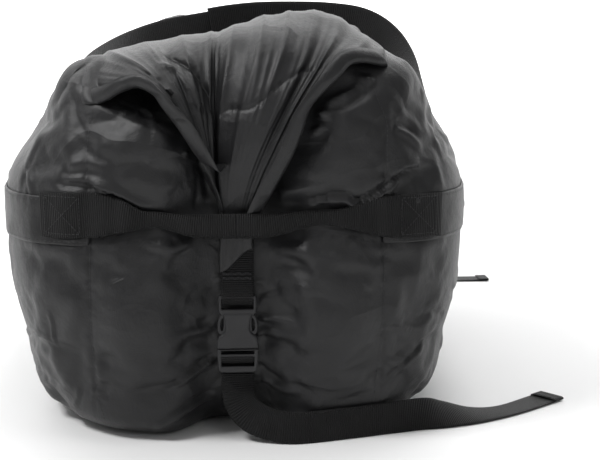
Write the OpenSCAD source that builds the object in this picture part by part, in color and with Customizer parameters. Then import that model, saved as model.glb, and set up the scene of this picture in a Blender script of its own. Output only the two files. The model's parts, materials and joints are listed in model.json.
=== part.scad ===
// Stuffed sack for travel and camping, lying on its side, with its long axis along Y.
// The origin is the middle of the underside. The front end faces -Y, and +Z is up.
// Every fabric part is placed by its depth below the sack's outer surface: a negative depth is outside.

/* [Sack] */
// Width of the stuffed sack at mid length
sack_w = 452; // [440:2:470]
// Height of the stuffed sack at mid length
sack_h = 344; // [338:2:348]
// Length of the stuffed sack, from end face to end face
sack_l = 700; // [690:5:740]
// How much taller the sack is near its ends than in the middle
end_rise = 30; // [16:2:34]
// Depth of the groove that the closing strap pulls into each end face
groove_depth = 22; // [20:1:24]
// Height of the sack's widest level, where the handles and side bands run
belt_z = 204; // [200:1:208]
// Thickness of a fabric panel
panel_t = 1.6; // [1:0.2:2]
// Distance of each upright end seam from the middle
seam_x = 131; // [126:1:134]

/* [Webbing] */
// Width of the handle and carry webbing
handle_w = 40; // [38:1:42]
// Width of the closing strap's webbing
strap_w = 30; // [28:0.5:30]
// Thickness of all webbing
webbing_t = 1.8; // [1.4:0.1:2]
// Height of the handle's folded grip
grip_w = 23.5; // [20:0.5:26]
// Half the length of the handle's grip
grip_half = 84; // [78:1:88]
// Height of the side bands
band_w = 42; // [40:1:44]

/* [Buckle] */
// Width of the closing strap's buckle
buckle_w = 38; // [37.5:0.5:40]
// Thickness of the buckle's socket
buckle_t = 12; // [11:0.5:12]
// Height of the socket's mouth above the floor
mouth_z = 87; // [86:0.5:88]
// Length of the socket from its mouth to its top
socket_len = 48; // [47:0.5:50]

/* [Carry strap] */
// Place of the carry strap along the sack
carry_y = -50; // [-80:5:-20]
// Height of the hinge line where the carry strap starts to lift off
carry_hinge_z = 240; // [238:1:244]
// Height of the ladder lock's lower bar, which it tilts about
lock_z = 121; // [119:1:123]
// Height of the ladder lock along the strap
lock_h = 21; // [20:0.5:22]

/* [Hidden] */
$fn = 48;

fabric_color = [0.13, 0.13, 0.135];
band_color = [0.17, 0.17, 0.175];
webbing_color = [0.07, 0.07, 0.075];
plastic_color = [0.09, 0.09, 0.095];
thread_color = [0.3, 0.3, 0.31];
load_color = [0.55, 0.53, 0.5];

half_w = sack_w / 2;
half_l = sack_l / 2;
// Roundness exponents of the cross-section and of the end faces
round_n = 2.8;
end_n = 5;
// Half height below the belt, where the floor cuts the section off flat
low_b = belt_z * 1.108;
// Share of the section at which the tube panels stop, and at which the end panels start
tube_k = 0.88;
face_k = 0.864;
shoulder_y = half_l * pow(1 - pow(tube_k, end_n), 1 / end_n);
// Groove: half width of its flat floor, width of each of its slopes, and where it fades out along Y
groove_floor = 22;
groove_slope = 48;
groove_start_y = 200;
groove_fade = 120;
// How far the stuffed sack leaves its even shape near its ends: up at the right shoulder, in at the sides
// above the bands, and out at the foot, and where each of these starts and fades
lean_start_y = 60;
lean_fade_y = 150;
shoulder_rise = 32;
ridge_half = 30;
shoulder_edge = 190;
shoulder_fade = 90;
rise_fade_z = 120;
side_slim = 12;
left_slim = 10;
slim_start_x = 50;
slim_top = 370;
slim_fade_z = 70;
foot_spread = 34;
foot_start_x = 40;
foot_fade_x = 100;
foot_top = 90;
toe_half = 150;
toe_fade = 60;
// Depths of the layers, with a small gap between neighbours
gap = 0.4;
load_depth = panel_t + 7;
band_depth = -0.2;
band_t = 0.8;
sewn_depth = band_depth - band_t - 0.2;
flap_depth = -2.5;
flap_lift = 4.5;
thread_t = 0.6;
// Plane of the groove's floor at handle height, and of the buckle's middle
floor_y = -(half_l - groove_depth);
buckle_y = floor_y - 9;
rail_t = 3.2;
rail_x = buckle_w / 2 - rail_t;
bar_r = 2.2;
frame_t = 8;
plug_low_z = mouth_z - 22;
plug_bar_z = mouth_z - 9.8;
socket_bar_z = mouth_z + socket_len - 4;
// Back face of the handle's grip
grip_y = -(half_l + 1.5);
grip_t = 4;

// ---- Helpers: numbers ----
function smooth(t) = let (s = min(max(t, 0), 1)) s * s * (3 - 2 * s);
function mix(a, b, t) = a + (b - a) * t;
function sign_pow(v, e) = sign(v) * pow(abs(v), e);
function unit(v) = v / norm(v);

// ---- Helpers: the sack's surface ----
function crown(y) = sack_h - belt_z + end_rise * pow(min(abs(y), shoulder_y) / half_l, 2);
function semi_height(y, z) = z >= belt_z ? crown(y) : low_b;
function groove(x) = groove_depth * (1 - smooth((abs(x) - groove_floor) / groove_slope));
function dent(p) =
    settle([p.x, p.y - sign(p.y) * groove(p.x) * smooth((abs(p.y) - groove_start_y) / groove_fade), p.z]);

// The stuffed sack's own lean, seen from its end: a fuller right shoulder, slim upper sides, a spread foot
function settle(p) = let (
        turn = p.y < 0 ? 1 : -1,
        x = turn * p.x,
        from_middle = abs(x),
        end = smooth((abs(p.y) - lean_start_y) / lean_fade_y),
        rise = shoulder_rise * smooth((x + ridge_half) / (2 * ridge_half))
            * smooth((shoulder_edge - x) / shoulder_fade) * smooth((p.z - belt_z) / rise_fade_z),
        slim = (side_slim + (x < 0 ? left_slim * end : 0))
            * smooth((from_middle - slim_start_x) / foot_fade_x)
            * smooth((p.z - belt_z - band_w / 2) / slim_fade_z) * smooth((slim_top - p.z) / slim_fade_z),
        spread = foot_spread * smooth((from_middle - foot_start_x) / foot_fade_x) * smooth(1 - p.z / foot_top),
        toe = foot_spread * smooth((from_middle - groove_floor) / foot_start_x)
            * smooth((toe_half - from_middle) / toe_fade) * smooth(1 - p.z / toe_fade)
            * smooth((abs(p.y) - groove_start_y) / foot_top)
    ) [turn * (x + sign(x) * (spread - slim)), p.y - turn * toe, p.z + rise * end];

// Point of the front end face at x, z
function face_at(x, z, depth) = let (
        b = semi_height(shoulder_y, z) - depth,
        r = pow(pow(abs(x) / (half_w - depth), round_n) + pow(abs(z - belt_z) / b, round_n), 1 / round_n)
    ) dent([x, -(half_l - depth) * pow(max(1 - pow(r, end_n), 0), 1 / end_n), z]);

// Point of the tube at an angle round it (0 at +X, 90 on top) and a place along it
function tube_at(angle, y, depth) = let (
        k = pow(1 - pow(abs(y) / (half_l - depth), end_n), 1 / end_n),
        b = semi_height(y, belt_z + sin(angle)) - depth,
        x = (half_w - depth) * k * sign_pow(cos(angle), 2 / round_n),
        z = belt_z + b * k * sign_pow(sin(angle), 2 / round_n)
    ) dent([x, y, max(z, depth)]);

// Point of the belt at an angle along it (-90 front, 0 on the side, 90 rear) and a height
function belt_at(side, angle, z, depth) = let (
        k = pow(cos(angle), 2 / end_n),
        y = (half_l - depth) * sign_pow(sin(angle), 2 / end_n),
        b = semi_height(y, z) - depth
    ) settle([side * (half_w - depth)
        * pow(pow(k, round_n) - pow(abs(z - belt_z) / b, round_n), 1 / round_n), y, z]);

// Point of the sack's side at y, z
function side_at(side, y, z, depth) =
    belt_at(side, sign(y) * asin(pow(abs(y) / (half_l - depth), end_n / 2)), z, depth);

// Point above the belt on a column of constant x, from the belt (v = 0) over the front shoulder (v = 1)
function over_at(x, v, depth) = let (
        r_low = abs(x) / half_w,
        r_high = pow(1 - pow(230 / half_l, end_n), 1 / end_n),
        r = r_low + (r_high - r_low) * sin(90 * v),
        b = crown(shoulder_y),
        h = b * pow(max(pow(r, round_n) - pow(r_low, round_n), 0), 1 / round_n),
        y = -half_l * pow(1 - pow(r, end_n), 1 / end_n)
    ) dent([x * (half_w - depth) / half_w, y * (half_l - depth) / half_l, belt_z + h * (b - depth) / b]);

// Height above or below the belt where the end face's outline reaches x, and its reach in x at a height
function outline_h(x, b) = b * pow(pow(face_k, round_n) - pow(abs(x) / half_w, round_n), 1 / round_n);
function outline_x(z) =
    half_w * pow(pow(face_k, round_n)
        - pow(abs(z - belt_z) / semi_height(shoulder_y, z), round_n), 1 / round_n);

// ---- Helpers: solids ----
// Closed block from a rule: point_at(u, v, w), with u and v from 0 to 1, w = 0 inside and 1 outside
module block(point_at, nu, nv) {
    function id(i, j, w) = (w * (nv + 1) + j) * (nu + 1) + i;
    function quad(a, b, c, d) = [[a, b, c], [a, c, d]];
    points = [for (w = [0, 1], j = [0:nv], i = [0:nu]) point_at(i / nu, j / nv, w)];
    faces = [
        for (j = [0:nv - 1], i = [0:nu - 1]) each concat(
            quad(id(i, j, 1), id(i, j + 1, 1), id(i + 1, j + 1, 1), id(i + 1, j, 1)),
            quad(id(i, j, 0), id(i + 1, j, 0), id(i + 1, j + 1, 0), id(i, j + 1, 0))),
        for (i = [0:nu - 1]) each concat(
            quad(id(i, 0, 0), id(i, 0, 1), id(i + 1, 0, 1), id(i + 1, 0, 0)),
            quad(id(i, nv, 0), id(i + 1, nv, 0), id(i + 1, nv, 1), id(i, nv, 1))),
        for (j = [0:nv - 1]) each concat(
            quad(id(nu, j, 0), id(nu, j, 1), id(nu, j + 1, 1), id(nu, j + 1, 0)),
            quad(id(0, j, 0), id(0, j + 1, 0), id(0, j + 1, 1), id(0, j, 1)))
    ];
    across = point_at(0.5 + 0.5 / nu, 0.5, 0) - point_at(0.5, 0.5, 0);
    along = point_at(0.5, 0.5 + 0.5 / nv, 0) - point_at(0.5, 0.5, 0);
    out = point_at(0.5, 0.5, 1) - point_at(0.5, 0.5, 0);
    right_handed = cross(across, along) * out > 0;
    polyhedron(points, right_handed ? faces : [for (f = faces) [f[2], f[1], f[0]]]);
}

// Closed loft through rings of equal length, with a middle point on each end
module loft(rings) {
    n = len(rings[0]);
    last = len(rings) - 1;
    function middle(ring) = [for (a = [0:2]) (min([for (p = ring) p[a]]) + max([for (p = ring) p[a]])) / 2];
    points = concat([for (ring = rings) each ring], [middle(rings[0]), middle(rings[last])]);
    start = len(points) - 2;
    faces = [
        for (j = [0:last - 1], i = [0:n - 1]) let (a = j * n + i, b = j * n + (i + 1) % n) each
            [[a, b, b + n], [a, b + n, a + n]],
        for (i = [0:n - 1]) [start, (i + 1) % n, i],
        for (i = [0:n - 1]) [start + 1, last * n + i, last * n + (i + 1) % n]
    ];
    polyhedron(points, faces);
}

// Outline of a strip of even thickness along a flat path
function strip(path, t) = let (
        last = len(path) - 1,
        normals = [for (i = [0:last]) let (
            d = unit(path[min(i + 1, last)] - path[max(i - 1, 0)])) [-d.y, d.x]]
    ) concat([for (i = [0:last]) path[i] + normals[i] * t / 2],
             [for (i = [last:-1:0]) path[i] - normals[i] * t / 2]);

// Solid of a strip whose path lies in the Y-Z plane, as wide as width along X
module strip_along_x(path, t, width) {
    rotate([90, 0, 90]) translate([0, 0, -width / 2]) linear_extrude(width) polygon(strip(path, t));
}

// Points of a smooth curve through hand-placed points, steps between each two
function curve(points, steps) = let (last = len(points) - 1) [
    for (i = [0:last - 1], s = [0:steps - 1]) let (
        t = s / steps,
        a = points[max(i - 1, 0)], b = points[i], c = points[i + 1], d = points[min(i + 2, last)])
        0.5 * (2 * b + (c - a) * t + (2 * a - 5 * b + 4 * c - d) * t * t
            + (3 * b - a - 3 * c + d) * t * t * t),
    points[last]
];

// Flat band swept along a route whose every point gives its place and the direction of its width
module band(route, steps, width, t) {
    path = curve([for (p = route) p[0]], steps);
    wide = curve([for (p = route) p[1]], steps);
    last = len(path) - 1;
    loft([for (i = [0:last]) let (
            along = unit(path[min(i + 1, last)] - path[max(i - 1, 0)]),
            side = unit(wide[i] - along * (wide[i] * along)),
            out = cross(along, side))
        [for (c = [[-1, -0.7], [-0.97, -1], [0.97, -1], [1, -0.7],
                   [1, 0.7], [0.97, 1], [-0.97, 1], [-1, 0.7]])
            path[i] + side * c.x * width / 2 + out * c.y * t / 2]]);
}

// Line of thread on the front end face, from one x, z to another
module face_thread(from, to, depth, half_width = 0.4) {
    d = unit(to - from);
    block(function(u, v, w) let (p = mix(from, to, u) + [-d.y, d.x] * mix(-half_width, half_width, v))
        face_at(p.x, p.y, depth - w * thread_t), 6, 1);
}

// Rounded bar along X
module bar_x(half_len, r, y, z) {
    translate([-half_len, y, z]) rotate([0, 90, 0]) cylinder(r = r, h = 2 * half_len);
}

module box_between(low, high) {
    translate(low) cube(high - low);
}

// ---- Body of the sack ----
module filling() color(load_color) {
    sides = 56;
    reach = half_l - load_depth;
    // The rings are close together where the load rounds over to its end faces
    end_y = [for (k = [0.04, 0.1, 0.17, 0.24, 0.31, 0.4, 0.5, 0.6, 0.7, 0.78, 0.84])
        reach * pow(1 - pow(k, end_n), 1 / end_n)];
    stations = concat([for (y = end_y) -y], [for (j = [-6:6]) 0.82 * reach * sin(15 * j)],
        [for (i = [len(end_y) - 1:-1:0]) end_y[i]]);
    loft([for (y = stations) [for (i = [sides - 1:-1:0]) tube_at(360 * i / sides, y, load_depth)]]);
}

module tube_panel(from_angle, to_angle) {
    edge = 0.02;
    block(function(u, v, w) tube_at(
        mix(from_angle + edge, to_angle - edge, u), shoulder_y * sin(180 * v - 90), panel_t * (1 - w)),
        28, 14);
}

module top_panel() color(fabric_color) tube_panel(0, 180);

module bottom_panel() color(fabric_color) tube_panel(180, 360);

module side_band(side) color(band_color) {
    end_angle = acos(pow(165 / half_w, end_n / 2));
    block(function(u, v, w) belt_at(side, mix(-end_angle, end_angle, u),
        belt_z + band_w * (v - 0.5), band_depth - w * band_t), 28, 2);
}

// ---- End panels, drawn for the front end ----
module center_panel() color(fabric_color) {
    block(function(u, v, w) let (
            x = mix(-1, 1, u) * (seam_x - gap),
            z = mix(belt_z - outline_h(x, low_b), belt_z + outline_h(x, crown(shoulder_y)), v))
        face_at(x, z, panel_t * (1 - w)), 18, 14);
}

module gusset(side) color(fabric_color) {
    reach = seam_x + 6;
    low = belt_z - outline_h(reach, low_b);
    high = belt_z + outline_h(reach, crown(shoulder_y));
    block(function(u, v, w) let (z = mix(low, high, v), x = mix(seam_x + gap, outline_x(z), u))
        face_at(side * x, z, panel_t * (1 - w)), 6, 14);
}

module seam_stitching() color(thread_color) {
    for (side = [-1, 1]) {
        face_thread([side * (seam_x - 3), 34], [side * (seam_x - 3), belt_z - band_w / 2 - 4], -0.6);
        face_thread([side * (seam_x - 3), belt_z + band_w / 2 + 4], [side * (seam_x - 3), 300], -0.6);
    }
}

// Half of the gathered mouth: x of its crease and of its outer edge, at the tab and at the top, and its bulge.
// It lifts off the sack by flap_lift on its way over the shoulder
module mouth_half(tab_x, top_x, bulge) color(fabric_color) {
    block(function(u, v, w) let (
            x = mix(mix(tab_x[0], top_x[0], v), mix(tab_x[1], top_x[1], smooth(v)), u),
            swell = bulge * smooth((v - 0.2) / 0.4) * smooth((1 - v) / 0.35) * sin(180 * u))
        over_at(x, v, flap_depth - flap_lift * smooth((v - 0.3) / 0.3) - w * (panel_t + swell)), 10, 20);
}

module closing_flap() mouth_half([-15, 15], [-4, 118], 22);

module flap_fold() mouth_half([-15.8, -24], [-4.8, -122], 12);

// ---- Haul handle, drawn for the front end ----
end_x = [134, 173];

module haul_end(side) color(webbing_color) {
    block(function(u, v, w) face_at(side * mix(end_x[0], end_x[1], u), belt_z + handle_w * (v - 0.5),
        sewn_depth - w * webbing_t), 4, 2);
}

module haul_stitching() color(thread_color) {
    depth = sewn_depth - webbing_t;
    low = belt_z - handle_w / 2 + 4;
    high = belt_z + handle_w / 2 - 4;
    near = end_x[0] + 3;
    far = end_x[1] - 5;
    middle = [(near + far) / 2, belt_z];
    for (s = [0, 1]) mirror([s, 0, 0]) {
        face_thread([near, low], [far, low], depth);
        face_thread([near, high], [far, high], depth);
        face_thread([near, low + 1], [near, high - 1], depth);
        face_thread([far, low + 1], [far, high - 1], depth);
        face_thread([near + 2, low + 2], [far - 2, high - 2], depth);
        face_thread([near + 2, high - 2], middle + [-1.5, 1.8], depth);
        face_thread(middle + [1.5, -1.8], [far - 2, low + 2], depth);
    }
}

module haul_leg(side) color(webbing_color) {
    block(function(u, v, w) let (
            x = mix(end_x[0] - 0.5, grip_half + 0.5, u),
            z = belt_z + (v - 0.5) * mix(handle_w, grip_w, smooth(u)),
            sewn_y = face_at(end_x[0], belt_z, sewn_depth).y)
        [side * x, mix(sewn_y, grip_y, u) - w * mix(webbing_t, grip_t, smooth(u)), z], 8, 2);
}

module haul_grip() color(webbing_color) {
    r = grip_t / 2;
    translate([-grip_half, grip_y - r, belt_z]) rotate([90, 0, 90]) linear_extrude(2 * grip_half) {
        square([grip_t, grip_w - grip_t], center = true);
        for (s = [-1, 1]) translate([0, s * (grip_w / 2 - r)]) circle(r);
    }
}

// ---- Tab and buckle, drawn for the front end ----
tab_y = buckle_y + 2;

module tab_webbing() color(webbing_color) {
    turn_r = bar_r + 0.6 + webbing_t / 2;
    path = concat(
        [[tab_y + webbing_t / 2, 194], [tab_y + webbing_t / 2, socket_bar_z + 16]],
        [for (a = [20:-20:-200]) [buckle_y + turn_r * cos(a), socket_bar_z + turn_r * sin(a)]],
        [[tab_y - webbing_t / 2 - 0.1, socket_bar_z + 16], [tab_y - webbing_t / 2 - 0.1, 186]]);
    strip_along_x(path, webbing_t, strap_w);
}

module tab_bartacks() color(thread_color) {
    front = tab_y - webbing_t - 0.1;
    for (z = [socket_bar_z + 19, socket_bar_z + 24])
        box_between([-13, front - thread_t, z], [13, front, z + 1.4]);
}

module tab_fabric() color(fabric_color) {
    front = tab_y - webbing_t - 0.3;
    translate([0, front, 0]) rotate([90, 0, 0]) linear_extrude(1.2)
        polygon([[-16, 160], [-12, 158], [16, 178], [16, 200], [-16, 200]]);
}

module buckle_socket() color(plastic_color) {
    top = mouth_z + socket_len;
    waist = mouth_z + 30;
    shelf = socket_bar_z - 9;
    difference() {
        union() {
            box_between([-buckle_w / 2, buckle_y - buckle_t / 2, mouth_z],
                [buckle_w / 2, buckle_y + buckle_t / 2, waist]);
            box_between([-rail_x - 1, buckle_y - 5, waist], [rail_x + 1, buckle_y + 5, shelf]);
            for (s = [-1, 1]) translate([s * (rail_x + rail_t / 2), buckle_y, 0])
                box_between([-rail_t / 2, -frame_t / 2, waist], [rail_t / 2, frame_t / 2, top]);
        }
        box_between([-14, buckle_y - 3.5, mouth_z - 1], [14, buckle_y + 3.5, mouth_z + 28]);
        box_between([-buckle_w, buckle_y - 3.5, mouth_z + 10], [buckle_w, buckle_y + 3.5, mouth_z + 28]);
    }
    bar_x(rail_x + 0.5, bar_r, buckle_y, socket_bar_z);
}

module buckle_plug() color(plastic_color) {
    for (s = [-1, 1]) translate([s * (rail_x + rail_t / 2), buckle_y, 0])
        box_between([-rail_t / 2, -frame_t / 2, plug_low_z], [rail_t / 2, frame_t / 2, mouth_z - gap]);
    box_between([-rail_x - 0.5, buckle_y - frame_t / 2, mouth_z - 4],
        [rail_x + 0.5, buckle_y + frame_t / 2, mouth_z - gap]);
    box_between([-rail_x - 0.5, buckle_y - frame_t / 2, plug_low_z],
        [rail_x + 0.5, buckle_y + frame_t / 2, plug_low_z + 5.5]);
    bar_x(rail_x + 0.5, bar_r, buckle_y, plug_bar_z);
    box_between([-3, buckle_y - 2, mouth_z - gap], [3, buckle_y + 2, mouth_z + 20]);
}

module buckle_prongs() color(plastic_color) {
    for (s = [0, 1]) mirror([s, 0, 0]) translate([0, buckle_y + 2.5, mouth_z - gap])
        rotate([90, 0, 0]) linear_extrude(5)
        polygon([[9, 0], [12.6, 0], [13, 11.5], [18.2, 12.5], [18.4, 17], [14, 26], [10.5, 26]]);
}

module anchor_strap() color(webbing_color) {
    depth = -gap - webbing_t / 2;
    back_y = buckle_y + frame_t / 2 + 0.4 + webbing_t / 2;
    path = concat(
        [for (z = [8:6:62]) [face_at(0, z, depth).y, z]],
        [[face_at(0, 68, depth).y - 0.6, 68],
         [buckle_y + 6, plug_bar_z - 1], [buckle_y + 2, plug_bar_z + 4.2]],
        [for (a = [90:30:270]) [buckle_y + 3.9 * cos(a), plug_bar_z + 4 * sin(a)]],
        [[back_y - 1.7, plug_bar_z - 4], [back_y, plug_bar_z - 6],
         [back_y, plug_low_z + 3], [back_y, plug_low_z - 2]]);
    strip_along_x(path, webbing_t, strap_w);
}

// ---- Free tails: place and direction of the width, chosen by hand ----
front_tail_route = [
    [[0, -331.4, 62.5], [1, 0, 0]], [[0, -332, 50], [1, 0, 0]], [[2, -335, 37], [1, 0, 0.2]],
    [[11, -341, 25], [0.8, 0, 0.6]], [[29, -348, 18], [0.4, 0, 0.9]], [[55, -352, 15.4], [0, 0, 1]],
    [[100, -340, 15.4], [0, 0, 1]], [[146, -324, 15.4], [0, 0.1, 1]], [[175, -312, 14.5], [-0.2, 0.3, 0.9]],
    [[199, -301, 10.5], [-0.4, 0.6, 0.6]], [[232, -284, 4.5], [-0.5, 0.8, 0.2]],
    [[266, -262, 1.6], [-0.6, 0.8, 0]], [[308, -228, 1.6], [-0.6, 0.8, 0]]
];
rear_tail_route = [
    [[0, 331.4, 62.5], [1, 0, 0]], [[0, 332, 50], [1, 0, 0]], [[2, 335, 37], [1, 0, 0.2]],
    [[11, 341, 25], [0.8, 0, 0.6]], [[29, 348, 18], [0.4, 0, 0.9]], [[60, 353, 15.4], [0, 0, 1]],
    [[110, 360, 15.4], [0, 0, 1]], [[160, 368, 15.4], [0, -0.1, 1]], [[200, 374, 14.5], [0, -0.3, 0.9]],
    [[235, 379, 10.5], [0, -0.8, 0.6]], [[272, 384, 4.5], [0, -1, 0.2]],
    [[312, 386, 1.6], [0, -1, 0]], [[358, 387, 1.6], [0, -1, 0]]
];

module strap_tail(route) color(webbing_color) band(route, 3, strap_w, webbing_t);

module tail_hem(route) color(webbing_color) {
    last = len(route) - 1;
    along = unit(route[last][0] - route[last - 1][0]);
    out = route[last][0] + along * 0.2;
    side = route[last][1];
    // The folded end is twice as thick as the strap and lies on the floor
    lift = [0, 0, webbing_t + 0.2 - out.z];
    band([[out + lift, side], [out + lift + along * 14, side]], 2, strap_w, 2 * webbing_t);
}

// ---- Carry strap ----
carry_arch = [
    [-230, 234, 0], [-229, 247, 0], [-223, 263, 3], [-213, 282, 6], [-200, 301, 8], [-183, 320, 10],
    [-160, 337, 14], [-131, 350, 22], [-98, 360, 34], [-60, 370, 52], [-22, 378, 80], [20, 381, 92],
    [60, 381, 91], [100, 380, 86], [138, 375, 74], [167, 361, 56], [188, 339, 38], [202, 314, 20],
    [212, 290, 10], [222, 267, 3], [229, 249, 0], [230, 234, 0]
];
function arch_side(route, i) = let (
        last = len(route) - 1,
        a = route[max(i - 1, 0)], b = route[min(i + 1, last)],
        along = unit([b.x - a.x, 0, b.y - a.y]),
        roll = route[i][2])
    [0, 1, 0] * cos(roll) + cross(along, [0, 1, 0]) * sin(roll);

module carry_strap() color(webbing_color) {
    band([for (i = [0:len(carry_arch) - 1])
        [[carry_arch[i].x, carry_y, carry_arch[i].y], arch_side(carry_arch, i)]], 2, handle_w, webbing_t);
}

// Webbing sewn flat on one side of the sack, between two heights
module side_patch(side, mid_y, width, low_z, high_z, depth, nv = 4) {
    block(function(u, v, w) side_at(side, mid_y + width * (u - 0.5), mix(low_z, high_z, v),
        depth - w * webbing_t), 2, nv);
}

module carry_end() color(webbing_color)
    side_patch(-1, carry_y, handle_w, belt_z - 18, carry_hinge_z, sewn_depth - 0.1);

// Line of thread on one side of the sack, from one y, z to another
module side_thread(side, from, to, depth) {
    d = unit(to - from);
    block(function(u, v, w) let (p = mix(from, to, u) + [-d.y, d.x] * mix(-0.4, 0.4, v))
        side_at(side, p.x, p.y, depth - w * thread_t), 4, 1);
}

module carry_stitching() color(thread_color) {
    depth = sewn_depth - 0.1 - webbing_t;
    low = [carry_y - 15, belt_z - 14];
    high = [carry_y + 15, belt_z + 16];
    middle = (low + high) / 2;
    side_thread(-1, low, [high.x, low.y], depth);
    side_thread(-1, [low.x, high.y], high, depth);
    side_thread(-1, low + [0, 1], [low.x, high.y - 1], depth);
    side_thread(-1, [high.x, low.y + 1], high - [0, 1], depth);
    side_thread(-1, low + [2, 2], high - [2, 2], depth);
    side_thread(-1, [low.x + 2, high.y - 2], middle + [-1.5, 1.5], depth);
    side_thread(-1, middle + [1.5, -1.5], [high.x - 2, low.y + 2], depth);
}

lock_y = carry_y;
lock_x = half_w + 2.5;
lock_t = 6;
lock_bar_r = 2;
lock_half = handle_w / 2 + 5;

module carry_run() color(webbing_color)
    side_patch(1, lock_y, handle_w, lock_z + lock_h + 4, carry_hinge_z, sewn_depth - 0.1, 6);

// Rounded bar along Y
module bar_y(x, z, r) {
    translate([x, lock_y - lock_half + 1, z]) rotate([-90, 0, 0]) cylinder(r = r, h = 2 * lock_half - 2);
}

module ladder_lock() color(plastic_color) {
    for (s = [-1, 1]) translate([0, lock_y + s * (lock_half - 2), 0])
        box_between([lock_x - lock_t / 2, -2, lock_z - lock_bar_r],
            [lock_x + lock_t / 2, 2, lock_z + lock_h - lock_bar_r]);
    bar_y(lock_x, lock_z, lock_bar_r);
    bar_y(lock_x, lock_z + 10, 1.6);
    bar_y(lock_x, lock_z + lock_h - 4, 1.8);
}

// Solid of a strip whose path lies in the X-Z plane, as wide as width along Y
module strip_along_y(path, t, width, mid_y) {
    translate([0, mid_y + width / 2, 0]) rotate([90, 0, 0]) linear_extrude(width) polygon(strip(path, t));
}

module lock_webbing() color(webbing_color) {
    z = lock_z + 10;
    r = 1.6 + 0.5 + webbing_t / 2;
    path = concat(
        [[lock_x - lock_t / 2 - 0.1, lock_z + lock_h + 2], [lock_x - r, z + 3]],
        [for (a = [160:20:340]) [lock_x + r * cos(a), z + r * sin(a)]],
        [[lock_x + r + 0.8, z + 4], [lock_x + r + 1.6, z + 16]]);
    strip_along_y(path, webbing_t, handle_w, lock_y);
}

module lock_stub() color(webbing_color) {
    r = lock_bar_r + 0.5 + webbing_t / 2;
    sewn = [for (z = [84:7:112]) [side_at(1, lock_y, z, -gap - webbing_t / 2).x, z]];
    path = concat(sewn, [for (a = [200:-20:-100]) [lock_x + r * cos(a), lock_z + r * sin(a)]]);
    strip_along_y(path, webbing_t, handle_w - 1, lock_y);
}

module stub_bartack() color(thread_color) {
    depth = -gap - webbing_t;
    for (z = [90, 96]) block(function(u, v, w)
        side_at(1, lock_y + 15 * mix(-1, 1, u), z + 1.4 * v, depth - 0.1 - w * thread_t), 2, 1);
}

// ---- Placing: the rear end is the front end turned half round ----
module rear() rotate([0, 0, 180]) children();

filling();
top_panel();
bottom_panel();
side_band(-1);  // side_band_left
side_band(1);  // side_band_right

center_panel();  // front_center_panel
gusset(-1);  // front_gusset_left
gusset(1);  // front_gusset_right
seam_stitching();  // front_seam_stitching
closing_flap();  // front_closing_flap
flap_fold();  // front_flap_fold
haul_end(-1);  // front_haul_end_left
haul_end(1);  // front_haul_end_right
haul_stitching();  // front_haul_stitching
haul_leg(-1);  // front_haul_leg_left
haul_leg(1);  // front_haul_leg_right
haul_grip();  // front_haul_grip
tab_fabric();  // front_tab_fabric
tab_webbing();  // front_tab_webbing
tab_bartacks();  // front_tab_bartacks
buckle_socket();  // front_buckle_socket
buckle_plug();  // front_buckle_plug
buckle_prongs();  // front_buckle_prongs
anchor_strap();  // front_anchor_strap
strap_tail(front_tail_route);  // front_strap_tail
tail_hem(front_tail_route);  // front_tail_hem

rear() center_panel();  // rear_center_panel
rear() gusset(-1);  // rear_gusset_left
rear() gusset(1);  // rear_gusset_right
rear() seam_stitching();  // rear_seam_stitching
rear() closing_flap();  // rear_closing_flap
rear() flap_fold();  // rear_flap_fold
rear() haul_end(-1);  // rear_haul_end_left
rear() haul_end(1);  // rear_haul_end_right
rear() haul_stitching();  // rear_haul_stitching
rear() haul_leg(-1);  // rear_haul_leg_left
rear() haul_leg(1);  // rear_haul_leg_right
rear() haul_grip();  // rear_haul_grip
rear() tab_fabric();  // rear_tab_fabric
rear() tab_webbing();  // rear_tab_webbing
rear() tab_bartacks();  // rear_tab_bartacks
rear() buckle_socket();  // rear_buckle_socket
rear() buckle_plug();  // rear_buckle_plug
rear() buckle_prongs();  // rear_buckle_prongs
rear() anchor_strap();  // rear_anchor_strap
strap_tail(rear_tail_route);  // rear_strap_tail
tail_hem(rear_tail_route);  // rear_tail_hem

carry_end();
carry_stitching();
carry_strap();
carry_run();
ladder_lock();
lock_webbing();
lock_stub();
stub_bartack();
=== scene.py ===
"""The looks of the stuff sack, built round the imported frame. Metres, +Z up, front end at -Y."""
import json
import math

import bpy
import numpy as np
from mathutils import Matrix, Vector
from mathutils.bvhtree import BVHTree

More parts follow.
